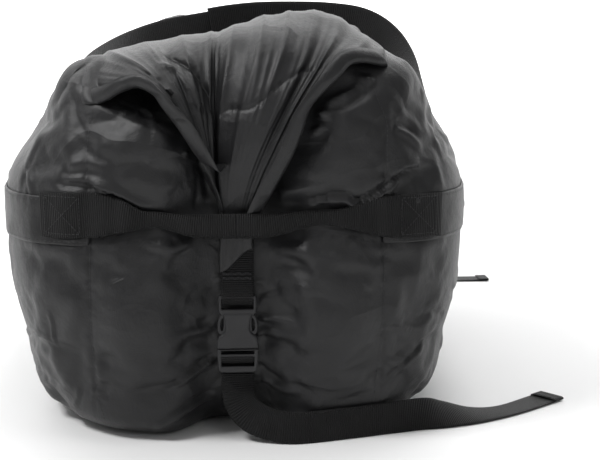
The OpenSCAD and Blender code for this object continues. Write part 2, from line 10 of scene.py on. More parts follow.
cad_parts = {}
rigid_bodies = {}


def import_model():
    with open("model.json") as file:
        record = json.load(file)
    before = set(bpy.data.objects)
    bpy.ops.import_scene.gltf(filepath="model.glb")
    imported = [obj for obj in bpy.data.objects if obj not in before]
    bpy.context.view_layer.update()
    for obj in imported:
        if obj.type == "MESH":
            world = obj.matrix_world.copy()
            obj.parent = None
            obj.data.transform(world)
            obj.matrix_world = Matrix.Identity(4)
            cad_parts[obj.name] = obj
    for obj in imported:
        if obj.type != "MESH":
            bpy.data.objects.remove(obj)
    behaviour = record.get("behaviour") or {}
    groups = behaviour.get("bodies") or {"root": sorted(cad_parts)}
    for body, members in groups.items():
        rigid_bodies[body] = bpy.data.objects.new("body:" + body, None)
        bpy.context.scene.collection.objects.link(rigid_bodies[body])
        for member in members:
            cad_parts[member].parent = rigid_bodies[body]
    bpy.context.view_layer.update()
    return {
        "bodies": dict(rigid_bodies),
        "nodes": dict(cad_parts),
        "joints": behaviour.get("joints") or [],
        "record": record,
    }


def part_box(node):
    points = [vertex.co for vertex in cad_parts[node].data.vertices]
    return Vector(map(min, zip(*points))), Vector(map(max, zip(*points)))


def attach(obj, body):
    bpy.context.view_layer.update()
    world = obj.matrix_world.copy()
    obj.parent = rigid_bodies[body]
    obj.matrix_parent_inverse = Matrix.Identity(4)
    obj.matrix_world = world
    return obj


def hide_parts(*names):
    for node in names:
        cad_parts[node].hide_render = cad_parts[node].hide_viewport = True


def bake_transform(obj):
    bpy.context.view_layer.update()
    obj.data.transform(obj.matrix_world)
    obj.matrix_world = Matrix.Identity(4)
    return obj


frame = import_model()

rng = np.random.default_rng(7)

# ---- Driving sizes: from the frame, or as in the part's source ----
HALF_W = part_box("top_panel")[1].x
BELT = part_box("top_panel")[0].z
HALF_L = 0.350
CROWN = 0.140
END_RISE = 0.030
LOW = BELT * 1.108
SHOULDER_Y = 0.3012
ROUND_N = 2.8
END_N = 5.0
STRAP_W = 0.030
HANDLE_W = 0.040
WEBBING_T = 0.0016
HANDLE_T = 0.0018
ENDS = ("front", "rear")


# ---- Numbers ----
def smooth(t):
    t = np.clip(t, 0.0, 1.0)
    return t * t * (3 - 2 * t)


def bump(t):
    """1 at t = 0, falling to 0 at t = 1 and beyond."""
    return 1 - smooth(np.abs(t))


def unit(v):
    return v / np.maximum(np.linalg.norm(v, axis=-1, keepdims=True), 1e-12)


def curve(points, steps):
    """Smooth curve through given points, as a fine row of points."""
    p = np.asarray(points, float)
    p = np.vstack([2 * p[0] - p[1], p, 2 * p[-1] - p[-2]])
    out = []
    for i in range(1, len(p) - 2):
        a, b, c, d = p[i - 1:i + 3]
        for t in np.arange(steps) / steps:
            out.append(0.5 * (2 * b + (c - a) * t + (2 * a - 5 * b + 4 * c - d) * t ** 2
                              + (3 * b - a - 3 * c + d) * t ** 3))
    out.append(p[-2])
    return np.array(out)


def resample(path, count):
    """The same path with count points, evenly spaced along it."""
    path = np.asarray(path, float)
    s = np.concatenate([[0], np.cumsum(np.linalg.norm(np.diff(path[:, :3], axis=0), axis=1))])
    at = np.linspace(0, s[-1], count)
    return np.stack([np.interp(at, s, path[:, k]) for k in range(path.shape[1])], axis=1)


def length_of(path):
    return float(np.linalg.norm(np.diff(path, axis=0), axis=1).sum())


# ---- Meshes ----
def add_mesh(name, points, faces, material, uv=None):
    mesh = bpy.data.meshes.new(name)
    mesh.from_pydata([tuple(p) for p in points], [], faces)
    mesh.validate()
    if uv is not None:
        layer = mesh.uv_layers.new(name="uv")
        corner = np.empty(len(mesh.loops), np.int32)
        mesh.loops.foreach_get("vertex_index", corner)
        layer.data.foreach_set("uv", np.asarray(uv, np.float32)[corner].ravel())
    mesh.shade_smooth()
    obj = bpy.data.objects.new(name, mesh)
    bpy.context.scene.collection.objects.link(obj)
    mesh.materials.append(material)
    return obj


def vertices(obj):
    co = np.empty(len(obj.data.vertices) * 3)
    obj.data.vertices.foreach_get("co", co)
    return co.reshape(-1, 3)


def set_vertices(obj, co):
    obj.data.vertices.foreach_set("co", np.asarray(co, float).ravel())
    obj.data.update()


def vertex_normals(obj):
    no = np.empty(len(obj.data.vertices) * 3, np.float32)
    obj.data.vertex_normals.foreach_get("vector", no)
    return no.reshape(-1, 3).astype(float)


def bake_modifiers(obj):
    """Applies every modifier on the object to its mesh."""
    graph = bpy.context.evaluated_depsgraph_get()
    mesh = bpy.data.meshes.new_from_object(obj.evaluated_get(graph))
    old = obj.data
    obj.modifiers.clear()
    obj.data = mesh
    bpy.data.meshes.remove(old)
    mesh.name = obj.name
    mesh.shade_smooth()


def subdivide(obj):
    obj.modifiers.new("subdivide", "SUBSURF").levels = 1
    bake_modifiers(obj)


def thicken(obj, thickness, offset=-1.0):
    solid = obj.modifiers.new("thickness", "SOLIDIFY")
    solid.thickness = thickness
    solid.offset = offset
    bake_modifiers(obj)


def grid_faces(nu, nv, wrap=False):
    """Faces of a grid of points numbered v by v: nu points across, nv along. wrap closes it across."""
    last = nu if wrap else nu - 1
    return [(j * nu + i, j * nu + (i + 1) % nu, (j + 1) * nu + (i + 1) % nu, (j + 1) * nu + i)
            for j in range(nv - 1) for i in range(last)]


def fit(obj, body, slot, *nodes):
    """Hides the CAD nodes that a piece stands for and puts the piece on the body that it rides. slot, its
    material slot, is not used.
    """
    if nodes:
        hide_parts(*nodes)
    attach(obj, body)


# ---- Materials ----
class Shader:
    """A material's shader, with short ways to add the nodes that feed it."""

    def __init__(self, name, colour, roughness, shine=0.30):
        self.mat = bpy.data.materials.new(name)
        self.mat.use_nodes = True
        self.nodes, self.links = self.mat.node_tree.nodes, self.mat.node_tree.links
        self.inputs = self.nodes["Principled BSDF"].inputs
        self.inputs["Base Color"].default_value = (*colour, 1)
        self.inputs["Roughness"].default_value = roughness
        self.inputs["Specular IOR Level"].default_value = shine
        self.place = self.nodes.new("ShaderNodeTexCoord").outputs["Object"]

    def set_or_link(self, socket, value):
        if isinstance(value, bpy.types.NodeSocket):
            self.links.new(value, socket)
        else:
            socket.default_value = value

    def node(self, kind, inputs):
        node = self.nodes.new(kind)
        for name, value in inputs.items():
            self.set_or_link(node.inputs[name], value)
        return node

    def noise(self, scale, detail=3.0, roughness=0.5, vector=None):
        vector = self.place if vector is None else vector
        return self.node("ShaderNodeTexNoise", {"Scale": scale, "Detail": detail, "Roughness": roughness,
                                                "Vector": vector}).outputs["Fac"]

    def math(self, operation, a, b=0.0):
        node = self.nodes.new("ShaderNodeMath")
        node.operation = operation
        self.set_or_link(node.inputs[0], a)
        self.set_or_link(node.inputs[1], b)
        return node.outputs[0]

    def waves(self, value, pitch):
        return self.math("SINE", self.math("MULTIPLY", value, math.tau / pitch))

    def tint(self, value, low, dark, high, light):
        """Base colour that runs from dark at value low to light at value high."""
        node = self.node("ShaderNodeValToRGB", {"Fac": value})
        ends = node.color_ramp.elements
        ends[0].position, ends[0].color = low, (*dark, 1)
        ends[1].position, ends[1].color = high, (*light, 1)
        self.links.new(node.outputs["Color"], self.inputs["Base Color"])

    def gloss(self, value, low, high):
        node = self.node("ShaderNodeMapRange", {"To Min": low, "To Max": high, "Value": value})
        self.links.new(node.outputs["Result"], self.inputs["Roughness"])

    def bumps(self, *layers):
        """Bump nodes in a row, each layer with its height, its distance in metres and its strength."""
        normal = None
        for height, distance, strength in layers:
            node = self.node("ShaderNodeBump", {"Distance": distance, "Strength": strength, "Height": height})
            if normal is not None:
                self.links.new(normal, node.inputs["Normal"])
            normal = node.outputs["Normal"]
        self.links.new(normal, self.inputs["Normal"])


def nylon(name, dark, light, roughness, weave_depth):
    """Thin satin nylon: a fine plain weave, soft crinkles and slight colour variation."""
    cloth = Shader(name, light, roughness, 0.40)
    broad, crinkle, fine = cloth.noise(9, 4), cloth.noise(75, 5, 0.62), cloth.noise(260, 3, 0.6)
    stretch = cloth.node("ShaderNodeMapping", {"Scale": (0.8, 0.8, 1.25), "Rotation": (0.2, 0.6, 0.3),
                                               "Vector": cloth.place})
    folds = cloth.noise(13, 1.5, 0.4, stretch.outputs[0])
    folded = cloth.math("ABSOLUTE", cloth.math("SUBTRACT", folds, 0.5))
    crease = cloth.math("POWER", cloth.math("SUBTRACT", 1.0, cloth.math("MULTIPLY", folded, 2.0)), 9.0)
    split = cloth.node("ShaderNodeSeparateXYZ", {"Vector": cloth.place})
    threads = [cloth.waves(split.outputs[axis], 0.0007) for axis in ("X", "Y", "Z")]
    weave = cloth.math("ADD", cloth.math("MULTIPLY", threads[0], threads[2]), threads[1])
    cloth.tint(broad, 0.3, dark, 0.7, light)
    cloth.gloss(crinkle, roughness - 0.05, roughness + 0.08)
    cloth.inputs["Sheen Weight"].default_value = 0.02
    cloth.inputs["Sheen Roughness"].default_value = 0.4
    cloth.bumps((broad, 0.006, 0.5), (crease, 0.0013, 0.5), (crinkle, 0.0014, 0.65), (fine, 0.0003, 0.6),
                (weave, weave_depth, 0.5))
    return cloth.mat


def webbing(name, dark, light, roughness):
    """Ribbed webbing, drawn by its UV map in metres: U across the strap, V along it."""
    web = Shader(name, light, roughness, 0.22)
    uv = web.nodes.new("ShaderNodeUVMap")
    uv.uv_map = "uv"
    split = web.node("ShaderNodeSeparateXYZ", {"Vector": uv.outputs[0]})
    rib, yarn = web.waves(split.outputs["Y"], 0.0020), web.waves(split.outputs["X"], 0.0015)
    crossed = web.math("MULTIPLY", web.math("MULTIPLY", rib, yarn), 0.4)
    weave = web.math("ADD", web.math("MULTIPLY", rib, 0.75), crossed)
    fuzz, wear = web.noise(900, 2), web.noise(30, 4)
    tone = web.math("ADD", web.math("MULTIPLY", weave, 0.18), web.math("MULTIPLY", wear, 0.9))
    web.tint(tone, 0.3, dark, 0.68, light)
    web.inputs["Sheen Weight"].default_value = 0.03
    web.bumps((wear, 0.0020, 0.5), (weave, 0.00045, 0.95), (fuzz, 0.0003, 0.6))
    return web.mat


def plastic(name, colour, roughness):
    """Moulded acetal: fine spark texture and slight gloss changes."""
    moulded = Shader(name, colour, roughness)
    grain, patch = moulded.noise(1400, 2), moulded.noise(60, 3)
    moulded.tint(patch, 0.3, colour, 0.75, tuple(c * 1.35 for c in colour))
    moulded.gloss(patch, roughness - 0.06, roughness + 0.08)
    moulded.bumps((grain, 0.00012, 0.4))
    return moulded.mat


def thread_material(name, dark, light):
    thread = Shader(name, light, 0.5)
    strands = thread.noise(1800, 2)
    thread.tint(strands, 0.3, dark, 0.7, light)
    thread.bumps((strands, 0.0002, 0.6))
    return thread.mat


SHELL = nylon("shell_nylon", (0.0060, 0.0060, 0.0066), (0.0096, 0.0096, 0.0105), 0.41, 0.00005)
BAND = nylon("band_nylon", (0.0026, 0.0026, 0.0030), (0.0052, 0.0052, 0.0058), 0.36, 0.00008)
WEB = webbing("black_webbing", (0.0004, 0.0004, 0.0005), (0.0052, 0.0052, 0.0057), 0.56)
PLASTIC = plastic("buckle_plastic", (0.019, 0.019, 0.020), 0.40)
THREAD = thread_material("thread", (0.014, 0.014, 0.015), (0.050, 0.050, 0.053))


# ---- Camera ----
def add_camera():
    data = bpy.data.cameras.new("camera")
    data.lens = 75.8
    data.sensor_width = 36
    data.clip_end = 50
    camera = bpy.data.objects.new("camera", data)
    bpy.context.scene.collection.objects.link(camera)
    camera.location = (0, -1.45, 0.375)
    camera.rotation_euler = (math.radians(90 - 9.2), 0, math.radians(-2.9))
    bpy.context.scene.camera = camera


add_camera()


# ---- Webbing swept along a path ----
def strap_section(width, thickness, fold_to):
    """Outline of the strap's section as (across, out) pairs, and how far across the flat webbing each is.
    fold_to is the width that the strap is folded down to, with its two edges turned behind it."""
    half, count = width / 2, 14
    s = np.concatenate([np.linspace(-half, half, count), np.linspace(half, -half, count)])
    side = np.concatenate([np.ones(count), -np.ones(count)]) * thickness / 2
    edge = 1 - 0.55 * smooth((np.abs(s) - half + 0.0012) / 0.0012)
    side = side * edge
    if fold_to >= width - 0.0005:
        return np.stack([s, side], 1), s
    r = 0.0016 + thickness / 2
    flat = fold_to / 2 - r
    over = np.abs(s) - flat
    turn = np.clip(over / r, 0, math.pi)
    past = np.maximum(over - math.pi * r, 0)
    mid_x = np.minimum(np.abs(s), flat) + r * np.sin(turn) - past
    mid_o = -r * (1 - np.cos(turn))
    nx, no = np.sin(turn), np.cos(turn)
    return np.stack([np.sign(s) * (mid_x + side * nx), mid_o + side * no], 1), s


def strap(name, path, side, width=STRAP_W, thickness=WEBBING_T, fold=None, step=0.002):
    """Webbing along path, whose width points along side. fold gives its folded width at each path point."""
    path, side = np.asarray(path, float), np.asarray(side, float)
    extra = np.full((len(path), 1), width) if fold is None else np.asarray(fold, float).reshape(-1, 1)
    rows = resample(np.hstack([path, side, extra]), max(4, int(length_of(path) / step)))
    path, side, widths = rows[:, :3], rows[:, 3:6], rows[:, 6]
    along = unit(np.gradient(path, axis=0))
    side = unit(side - along * (side * along).sum(1, keepdims=True))
    out = np.cross(along, side)
    s_along = np.concatenate([[0], np.cumsum(np.linalg.norm(np.diff(path, axis=0), axis=1))])
    points, uv = [], []
    for i in range(len(path)):
        ring, across = strap_section(width, thickness, widths[i])
        points.append(path[i] + ring[:, :1] * side[i] + ring[:, 1:] * out[i])
        uv.append(np.stack([across, np.full(len(across), s_along[i])], 1))
    count = len(points[0])
    faces = grid_faces(count, len(path), wrap=True)
    faces.append(tuple(range(count - 1, -1, -1)))
    faces.append(tuple((len(path) - 1) * count + k for k in range(count)))
    obj = add_mesh(name, np.vstack(points), faces, WEB, np.vstack(uv))
    return obj, path


def stitches(name, lines, pitch=0.0036, stitch=0.0026, radius=0.00032):
    """Rows of thread stitches. Each line is (path, out): points on the face and its outward directions."""
    ring = 6
    points, faces = [], []
    for path, out in lines:
        rows = resample(np.hstack([path, out]), 200)
        total = length_of(rows[:, :3])
        s = np.linspace(0, total, 200)
        for k in range(int(total / pitch)):
            ends = [k * pitch + (pitch - stitch) / 2, k * pitch + (pitch + stitch) / 2]
            start = len(points)
            profile = [(0.0, 0.25), (0.12, 0.8), (0.5, 1.0), (0.88, 0.8), (1.0, 0.25)]
            a, b = [np.array([np.interp(e, s, rows[:, c]) for c in range(6)]) for e in ends]
            along = unit(b[:3] - a[:3])
            up = unit(a[3:] - along * (a[3:] @ along))
            wide = np.cross(along, up)
            for t, r in profile:
                centre = a[:3] + (b[:3] - a[:3]) * t + up * radius * (r - 0.55)
                for q in range(ring):
                    w = math.tau * q / ring
                    points.append(centre + radius * r * (math.cos(w) * wide + math.sin(w) * up))
            faces += [tuple(start + f for f in face) for face in grid_faces(ring, len(profile), wrap=True)]
            faces.append(tuple(start + ring - 1 - q for q in range(ring)))
            faces.append(tuple(start + (len(profile) - 1) * ring + q for q in range(ring)))
    return add_mesh(name, points, faces, THREAD)


# ---- Free tails: a row is a point in mm, as in the part's source, and the way the width lies ----
def tail_route(rows):
    """The route in metres."""
    rows = np.array(rows, float)
    rows[:, :3] /= 1000
    return rows


FRONT_TAIL = tail_route([
    (0, -331.4, 62.5, 1, 0, 0), (0, -332, 50, 1, 0, 0), (2, -335, 37, 1, 0, 0.2),
    (11, -341, 25, 0.8, 0, 0.6), (29, -348, 18, 0.4, 0, 0.9), (55, -352, 15.4, 0, 0, 1),
    (100, -340, 15.4, 0, 0, 1), (146, -324, 15.4, 0, 0.1, 1), (175, -312, 14.5, -0.2, 0.3, 0.9),
    (199, -301, 10.5, -0.4, 0.6, 0.6), (232, -284, 4.5, -0.5, 0.8, 0.2),
    (266, -262, 1.6, -0.6, 0.8, 0), (308, -228, 1.6, -0.6, 0.8, 0)])
REAR_TAIL = tail_route([
    (0, 331.4, 62.5, 1, 0, 0), (0, 332, 50, 1, 0, 0), (2, 335, 37, 1, 0, 0.2),
    (11, 341, 25, 0.8, 0, 0.6), (29, 348, 18, 0.4, 0, 0.9), (60, 353, 15.4, 0, 0, 1),
    (110, 360, 15.4, 0, 0, 1), (160, 368, 15.4, 0, -0.1, 1), (200, 374, 14.5, 0, -0.3, 0.9),
    (235, 379, 10.5, 0, -0.8, 0.6), (272, 384, 4.5, 0, -1, 0.2),
    (312, 386, 1.6, 0, -1, 0), (358, 387, 1.6, 0, -1, 0)])


def add_tail(end, route):
    rows = curve(route, 10)
    tail, path = strap(f"{end}_tail_webbing", rows[:, :3], rows[:, 3:])
    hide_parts(f"{end}_strap_tail")
    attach(tail, "root")
    along = unit(rows[-1, :3] - rows[-4, :3])
    side = unit(rows[-1, 3:])
    lift = np.array([0, 0, 0.0008])
    # The end is folded back on itself twice, so the hem is thick and its fold is round
    hem_path = np.array([path[-1] + lift * k + along * (0.0002 + 0.0142 * t)
                         for k, t in ((1.0, 0.0), (1.0, 0.5), (1.0, 1.0))])
    hem, _ = strap(f"{end}_tail_fold", hem_path, [side] * 3, STRAP_W + 0.0003, 0.0036)
    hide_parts(f"{end}_tail_hem")
    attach(hem, "root")
    rows_of_thread = []
    for t in (0.0025, 0.0105):
        centre = path[-1] + lift + along * t + np.array([0, 0, 0.0019])
        row = np.array([centre - side * 0.013, centre + side * 0.013])
        rows_of_thread.append((row, [[0, 0, 1.0]] * 2))
    thread = stitches(f"{end}_tail_stitching", rows_of_thread)
    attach(thread, "root")
    tuple(route[0, :3])
    round(length_of(path), 3)


for end, route in zip(ENDS, (FRONT_TAIL, REAR_TAIL)):
    add_tail(end, route)


# ---- The sack's surface, by the same rule as in the part's source ----
def groove(x):
    return 0.022 * (1 - smooth((np.abs(x) - 0.022) / 0.048))


def on_surface(directions):
    """Points of the sack's outer surface along directions from the middle of its belt."""
    d = np.asarray(directions, float)
    scale = np.ones(len(d))
    for _ in range(5):
        y = np.abs(d[:, 1] * scale)
        high = CROWN + END_RISE * (np.minimum(y, SHOULDER_Y) / HALF_L) ** 2
        b = np.where(d[:, 2] >= 0, high, LOW)
        r = (np.abs(d[:, 0] / HALF_W) ** ROUND_N + np.abs(d[:, 2] / b) ** ROUND_N) ** (1 / ROUND_N)
        scale = (r ** END_N + np.abs(d[:, 1] / HALF_L) ** END_N) ** (-1 / END_N)
    p = d * scale[:, None] + [0, 0, BELT]
    p[:, 1] -= np.sign(p[:, 1]) * groove(p[:, 0]) * smooth((np.abs(p[:, 1]) - 0.2) / 0.12)
    p[:, 2] = (p[:, 2] + np.sqrt(p[:, 2] ** 2 + 0.005 ** 2)) / 2
    return settled(p)


def settled(p):
    """The stuffed sack's own lean, seen from its end: full right shoulder, slim upper sides, spread foot."""
    turn = np.where(p[:, 1] < 0, 1, -1)
    x, y, z = p[:, 0] * turn, np.abs(p[:, 1]), p[:, 2]
    end = smooth((y - 0.06) / 0.15)
    rise = 0.032 * smooth((x + 0.03) / 0.06) * smooth((0.19 - x) / 0.09) * smooth((z - BELT) / 0.12)
    slim = (0.012 + 0.010 * end * (x < 0)) * smooth((np.abs(x) - 0.05) / 0.10) \
        * smooth((z - BELT - 0.021) / 0.07) * smooth((0.37 - z) / 0.07)
    spread = 0.034 * smooth((np.abs(x) - 0.04) / 0.10) * smooth(1 - z / 0.09)
    toe = 0.034 * smooth((np.abs(x) - 0.022) / 0.04) * smooth((0.15 - np.abs(x)) / 0.06) \
        * smooth(1 - z / 0.06) * smooth((y - 0.2) / 0.08)
    return np.stack([turn * (x + np.sign(x) * (spread - slim)), p[:, 1] - turn * toe, z + rise * end], 1)


def turned(points, end):
    """The same points on the rear end: the front turned half a turn about Z."""
    return np.asarray(points, float) * (1 if end == "front" else [-1, -1, 1])


def box_grid(nx, ny, nz):
    """Directions and faces of a grid over a box's six sides, welded at its edges."""
    index, points, faces = {}, [], []

    def vertex(key):
        if key not in index:
            index[key] = len(points)
            points.append([(2 * k / n - 1) * size for k, n, size in
                           zip(key, (nx, ny, nz), (HALF_W, HALF_L, LOW))])
        return index[key]

    for axis, (n, nu, nv) in enumerate(((nx, ny, nz), (ny, nz, nx), (nz, nx, ny))):
        for level, order in ((0, -1), (n, 1)):
            for i in range(nu):
                for j in range(nv):
                    quad = []
                    for u, v in ((i, j), (i + 1, j), (i + 1, j + 1), (i, j + 1)):
                        key = [0, 0, 0]
                        key[axis], key[(axis + 1) % 3], key[(axis + 2) % 3] = level, u, v
                        quad.append(vertex(tuple(key)))
                    faces.append(tuple(quad[::order]))
    return np.array(points), faces


GRID = box_grid(64, 60, 50)


# ---- Relief: strokes laid on a surface, each a ridge, crease, fold or valley along a path ----
def profile(kind, q):
    if kind == "ridge":
        return np.exp(-q * q)
    if kind == "valley":
        return -np.exp(-q * q)
    if kind == "crease":
        return -np.exp(-np.abs(q) * 1.3)
    # A fold has a full rounded lip on its left side and a sharp, dark line on its right
    return np.exp(-((q - 0.75) / 0.75) ** 2) - 0.8 * np.exp(-np.abs(q + 0.35) * 2.2)


def add_strokes(points, normals, strokes):
    """Height that the strokes add at each point. A stroke is (kind, height, width, path), in metres."""
    height = np.zeros(len(points))
    for kind, rise, width, path in strokes:
        path = np.asarray(path, float)
        reach = 3.2 * width
        near = np.all((points > path.min(0) - reach) & (points < path.max(0) + reach), axis=1)
        if not near.any():
            continue
        p, no = points[near], normals[near]
        best = np.full(len(p), 1e9)
        side, along = np.zeros(len(p)), np.zeros(len(p))
        total, gone = length_of(path), 0.0
        for a, b in zip(path[:-1], path[1:]):
            d = b - a
            long = np.linalg.norm(d)
            t = np.clip(((p - a) @ d) / max(long * long, 1e-12), 0, 1)
            off = p - (a + t[:, None] * d)
            dist = np.linalg.norm(off, axis=1)
            closer = dist < best
            best = np.where(closer, dist, best)
            side = np.where(closer, np.sign((np.cross(no, d) * off).sum(1)), side)
            along = np.where(closer, (gone + t * long) / total, along)
            gone += long
        taper = smooth(along / 0.18) * smooth((1 - along) / 0.30)
        height[near] += rise * profile(kind, side * best / width) * taper
    return height


class Surface:
    """A mesh that other pieces are laid on."""

    def __init__(self, obj):
        faces = [tuple(f.vertices) for f in obj.data.polygons]
        self.tree = BVHTree.FromPolygons(vertices(obj).tolist(), faces)

    def hit(self, start, way):
        """Where a ray meets the mesh, and the mesh's normal there."""
        place, normal, _, _ = self.tree.ray_cast(Vector(start), Vector(way))
        return (np.array(place), np.array(normal)) if place is not None else (None, None)

    def on_face(self, x, z, end="front"):
        """Point of an end face at x, z as seen from that end."""
        sign = 1 if end == "front" else -1
        place, _ = self.hit((sign * x, -sign * 0.6, z), (0, sign, 0))
        return place if place is not None else np.array([sign * x, -sign * 0.30, z])


def face_path(points, end, steps=5, surface=None):
    """Path on an end face through given points in millimetres, (x, z) as seen from that end."""
    flat = np.array([(x / 1000, 0, z / 1000) for x, z in points])
    if len(points) > 2:
        flat = curve(flat, steps)
    face = surface or PLAIN
    return np.array([face.on_face(x, z, end) for x, _, z in flat])


# Strokes of each end face: kind, height and width in mm, and (x, z) points in mm.
# STROKE_GAIN multiplies their heights.
STROKE_GAIN = 1.6
END_STROKES = [
    # Tension from the closing strap's buckle
    ("crease", 2.6, 2.6, [(-20, 111), (-43, 108), (-67, 103), (-80, 98)]),
    ("ridge", 2.6, 3.2, [(-20, 104), (-43, 101), (-67, 97), (-84, 93)]),
    ("valley", 2.4, 6.0, [(-18, 90), (-40, 92), (-60, 90)]),
    ("fold", 2.8, 4.6, [(-18, 78), (-36, 70), (-51, 61), (-69, 50)]),
    ("crease", 2.4, 2.4, [(17, 109), (30, 106), (44, 104), (56, 101)]),
    ("ridge", 2.4, 2.8, [(17, 113), (38, 112), (62, 110)]),
    ("ridge", 2.2, 2.4, [(20, 104), (42, 98), (57, 97), (66, 101), (54, 106)]),
    ("valley", 2.2, 5.0, [(18, 92), (40, 90), (62, 92)]),
    ("crease", 3.0, 2.8, [(17, 72), (26, 61), (42, 53), (58, 50)]),
    ("ridge", 2.6, 3.6, [(20, 60), (32, 50), (46, 45), (62, 46)]),
    ("ridge", 3.0, 7.0, [(50, 64), (73, 54), (93, 51), (126, 63)]),
    ("valley", 2.6, 6.0, [(58, 73), (89, 71), (128, 73)]),
    ("crease", 1.6, 2.2, [(17, 134), (30, 138), (44, 141)]),
    ("ridge", 1.0, 2.6, [(18, 129), (32, 133), (48, 135)]),
    ("crease", 1.4, 2.0, [(-17, 150), (-28, 148), (-44, 141)]),
    ("ridge", 1.6, 4.5, [(-66, 156), (-86, 146), (-106, 136), (-125, 128)]),
    ("ridge", 1.6, 4.0, [(-80, 187), (-64, 180), (-47, 182), (-36, 188)]),
    ("crease", 1.2, 2.4, [(-72, 178), (-55, 174), (-38, 177)]),
    ("ridge", 2.0, 6.5, [(21, 176), (61, 176), (98, 168), (135, 161), (150, 160)]),
    ("valley", 1.4, 6.0, [(40, 164), (80, 160), (128, 152)]),
    ("ridge", 2.0, 4.5, [(-131, 68), (-119, 61), (-106, 54), (-86, 53)]),
    ("valley", 1.6, 5.5, [(-128, 82), (-108, 70), (-82, 66)]),
    ("fold", 1.2, 4.0, [(176, 88), (165, 77), (146, 61), (134, 46), (127, 32)]),
    ("ridge", 1.2, 3.0, [(133, 74), (141, 70), (147, 63)]),
    ("crease", 1.8, 2.0, [(128, 66), (127, 50), (124, 34)]),
    ("crease", 1.8, 4.0, [(-22, 30), (-40, 22), (-60, 18)]),
    ("ridge", 1.8, 5.0, [(22, 30), (46, 24), (70, 20)]),
    ("fold", 2.0, 5.0, [(-18, 40), (-40, 34), (-66, 22), (-84, 14)]),
    ("fold", 1.8, 5.0, [(70, 30), (95, 38), (118, 44)]),
    # Under the left flap's open mouth
    ("ridge", 2.2, 6.0, [(-120, 273), (-94, 265), (-76, 259)]),
    ("fold", 3.0, 4.0, [(-80, 257), (-59, 264), (-40, 261)]),
    ("crease", 2.2, 3.0, [(-66, 253), (-53, 250), (-38, 254)]),
    ("ridge", 1.6, 5.0, [(-112, 250), (-90, 244), (-66, 236), (-48, 238)]),
    ("crease", 2.6, 2.0, [(-44, 266), (-37, 250), (-35, 233), (-36, 208)]),
    ("valley", 3.0, 5.0, [(-36, 262), (-27, 240), (-24, 216)]),
    # Crumpled lining inside the left flap's mouth
    ("ridge", 2.4, 4.5, [(-106, 312), (-99, 306), (-91, 301)]),
    ("crease", 2.4, 3.0, [(-96, 321), (-92, 310), (-80, 302)]),
    ("ridge", 3.4, 5.0, [(-86, 318), (-76, 307), (-67, 291)]),
    ("crease", 2.4, 3.0, [(-68, 316), (-61, 300), (-53, 287)]),
    # Right of the right flap
    ("ridge", 3.6, 3.2, [(98, 338), (110, 331), (124, 325)]),
    ("ridge", 3.0, 4.0, [(104, 336), (109, 322), (92, 313), (70, 305)]),
    ("valley", 3.0, 5.0, [(116, 322), (100, 308), (80, 302)]),
    ("ridge", 3.6, 2.6, [(62, 298), (89, 299), (112, 297), (130, 292)]),
    ("ridge", 3.2, 2.6, [(60, 281), (73, 287), (88, 293), (80, 297), (64, 292)]),
    ("crease", 3.0, 3.0, [(62, 286), (72, 290), (84, 293)]),
    ("ridge", 2.4, 3.0, [(140, 318), (136, 304), (131, 292)]),
    ("valley", 2.0, 4.0, [(150, 304), (140, 300), (130, 304)]),
    ("crease", 2.4, 3.5, [(134, 292), (150, 288), (164, 278)]),
    ("ridge", 2.2, 4.5, [(136, 284), (152, 278), (170, 262)]),
    ("fold", 2.6, 5.0, [(136, 240), (150, 248), (168, 250)]),
    ("ridge", 1.8, 6.5, [(86, 290), (91, 272), (92, 252)]),
    ("ridge", 1.6, 6.0, [(60, 246), (84, 248), (104, 242)]),
    # Bulges that hang over the haul handle
    ("fold", 3.4, 4.5, [(150, 246), (127, 232), (106, 222), (90, 228), (50, 217)]),
    ("ridge", 2.4, 5.0, [(36, 226), (60, 234), (84, 240)]),
    ("valley", 2.4, 5.0, [(40, 214), (70, 219), (92, 216)]),
    ("fold", 2.6, 5.0, [(-160, 238), (-130, 238), (-105, 230), (-84, 217), (-60, 214)]),
    ("ridge", 2.0, 5.0, [(-150, 252), (-128, 256), (-100, 248)]),
]


def rotated(v, angle):
    c, s = math.cos(angle), math.sin(angle)
    return np.array([v[0] * c - v[1] * s, v[0] * s + v[1] * c])


def scattered(rules, end):
    """Short random strokes: each rule is (count, start, stop, half length, width, height, angle) in mm, and
    lays its strokes along the line from start to stop, each turned by angle."""
    found = []
    for count, start, stop, half, width, rise, angle in rules:
        a, b = np.array(start, float), np.array(stop, float)
        turn = rotated((b - a) / np.linalg.norm(b - a), math.radians(angle))
        for k in range(count):
            at = a + (b - a) * (k + rng.uniform(0.1, 0.9)) / count
            way = rotated(turn, rng.normal(0, 0.22))
            reach = half * rng.uniform(0.5, 1.3)
            shift = rng.uniform(-0.3, 0.3) * reach
            kind = "ridge" if rng.random() < 0.6 else "crease"
            line = [at + way * (shift - reach), at + way * shift + rng.normal(0, 0.8, 2),
                    at + way * (shift + reach)]
            found.append((kind, rise / 1000 * rng.uniform(0.4, 1.2), width / 1000 * rng.uniform(0.7, 1.4),
                          face_path(line, end, 3)))
    return found


# Puckers across the upright seams, and finer ones round the buckle and above the handle
PUCKERS = [
    (30, (-128, 36), (-130, 186), 9, 2.0, 1.0, 90), (12, (-130, 232), (-126, 312), 9, 2.2, 1.0, 90),
    (24, (128, 40), (132, 186), 8, 2.0, 0.8, 90), (12, (134, 232), (125, 318), 10, 2.4, 1.1, 90),
    (10, (-17, 40), (-17, 158), 14, 3.0, 1.1, 96), (10, (17, 40), (17, 170), 14, 3.0, 1.1, 84),
    (16, (-165, 186), (-30, 188), 6, 2.2, 0.8, 90), (16, (32, 188), (170, 186), 6, 2.2, 0.8, 90),
    (10, (60, 238), (165, 240), 7, 2.4, 0.8, 90), (8, (-165, 242), (-60, 226), 7, 2.4, 0.8, 90),
]


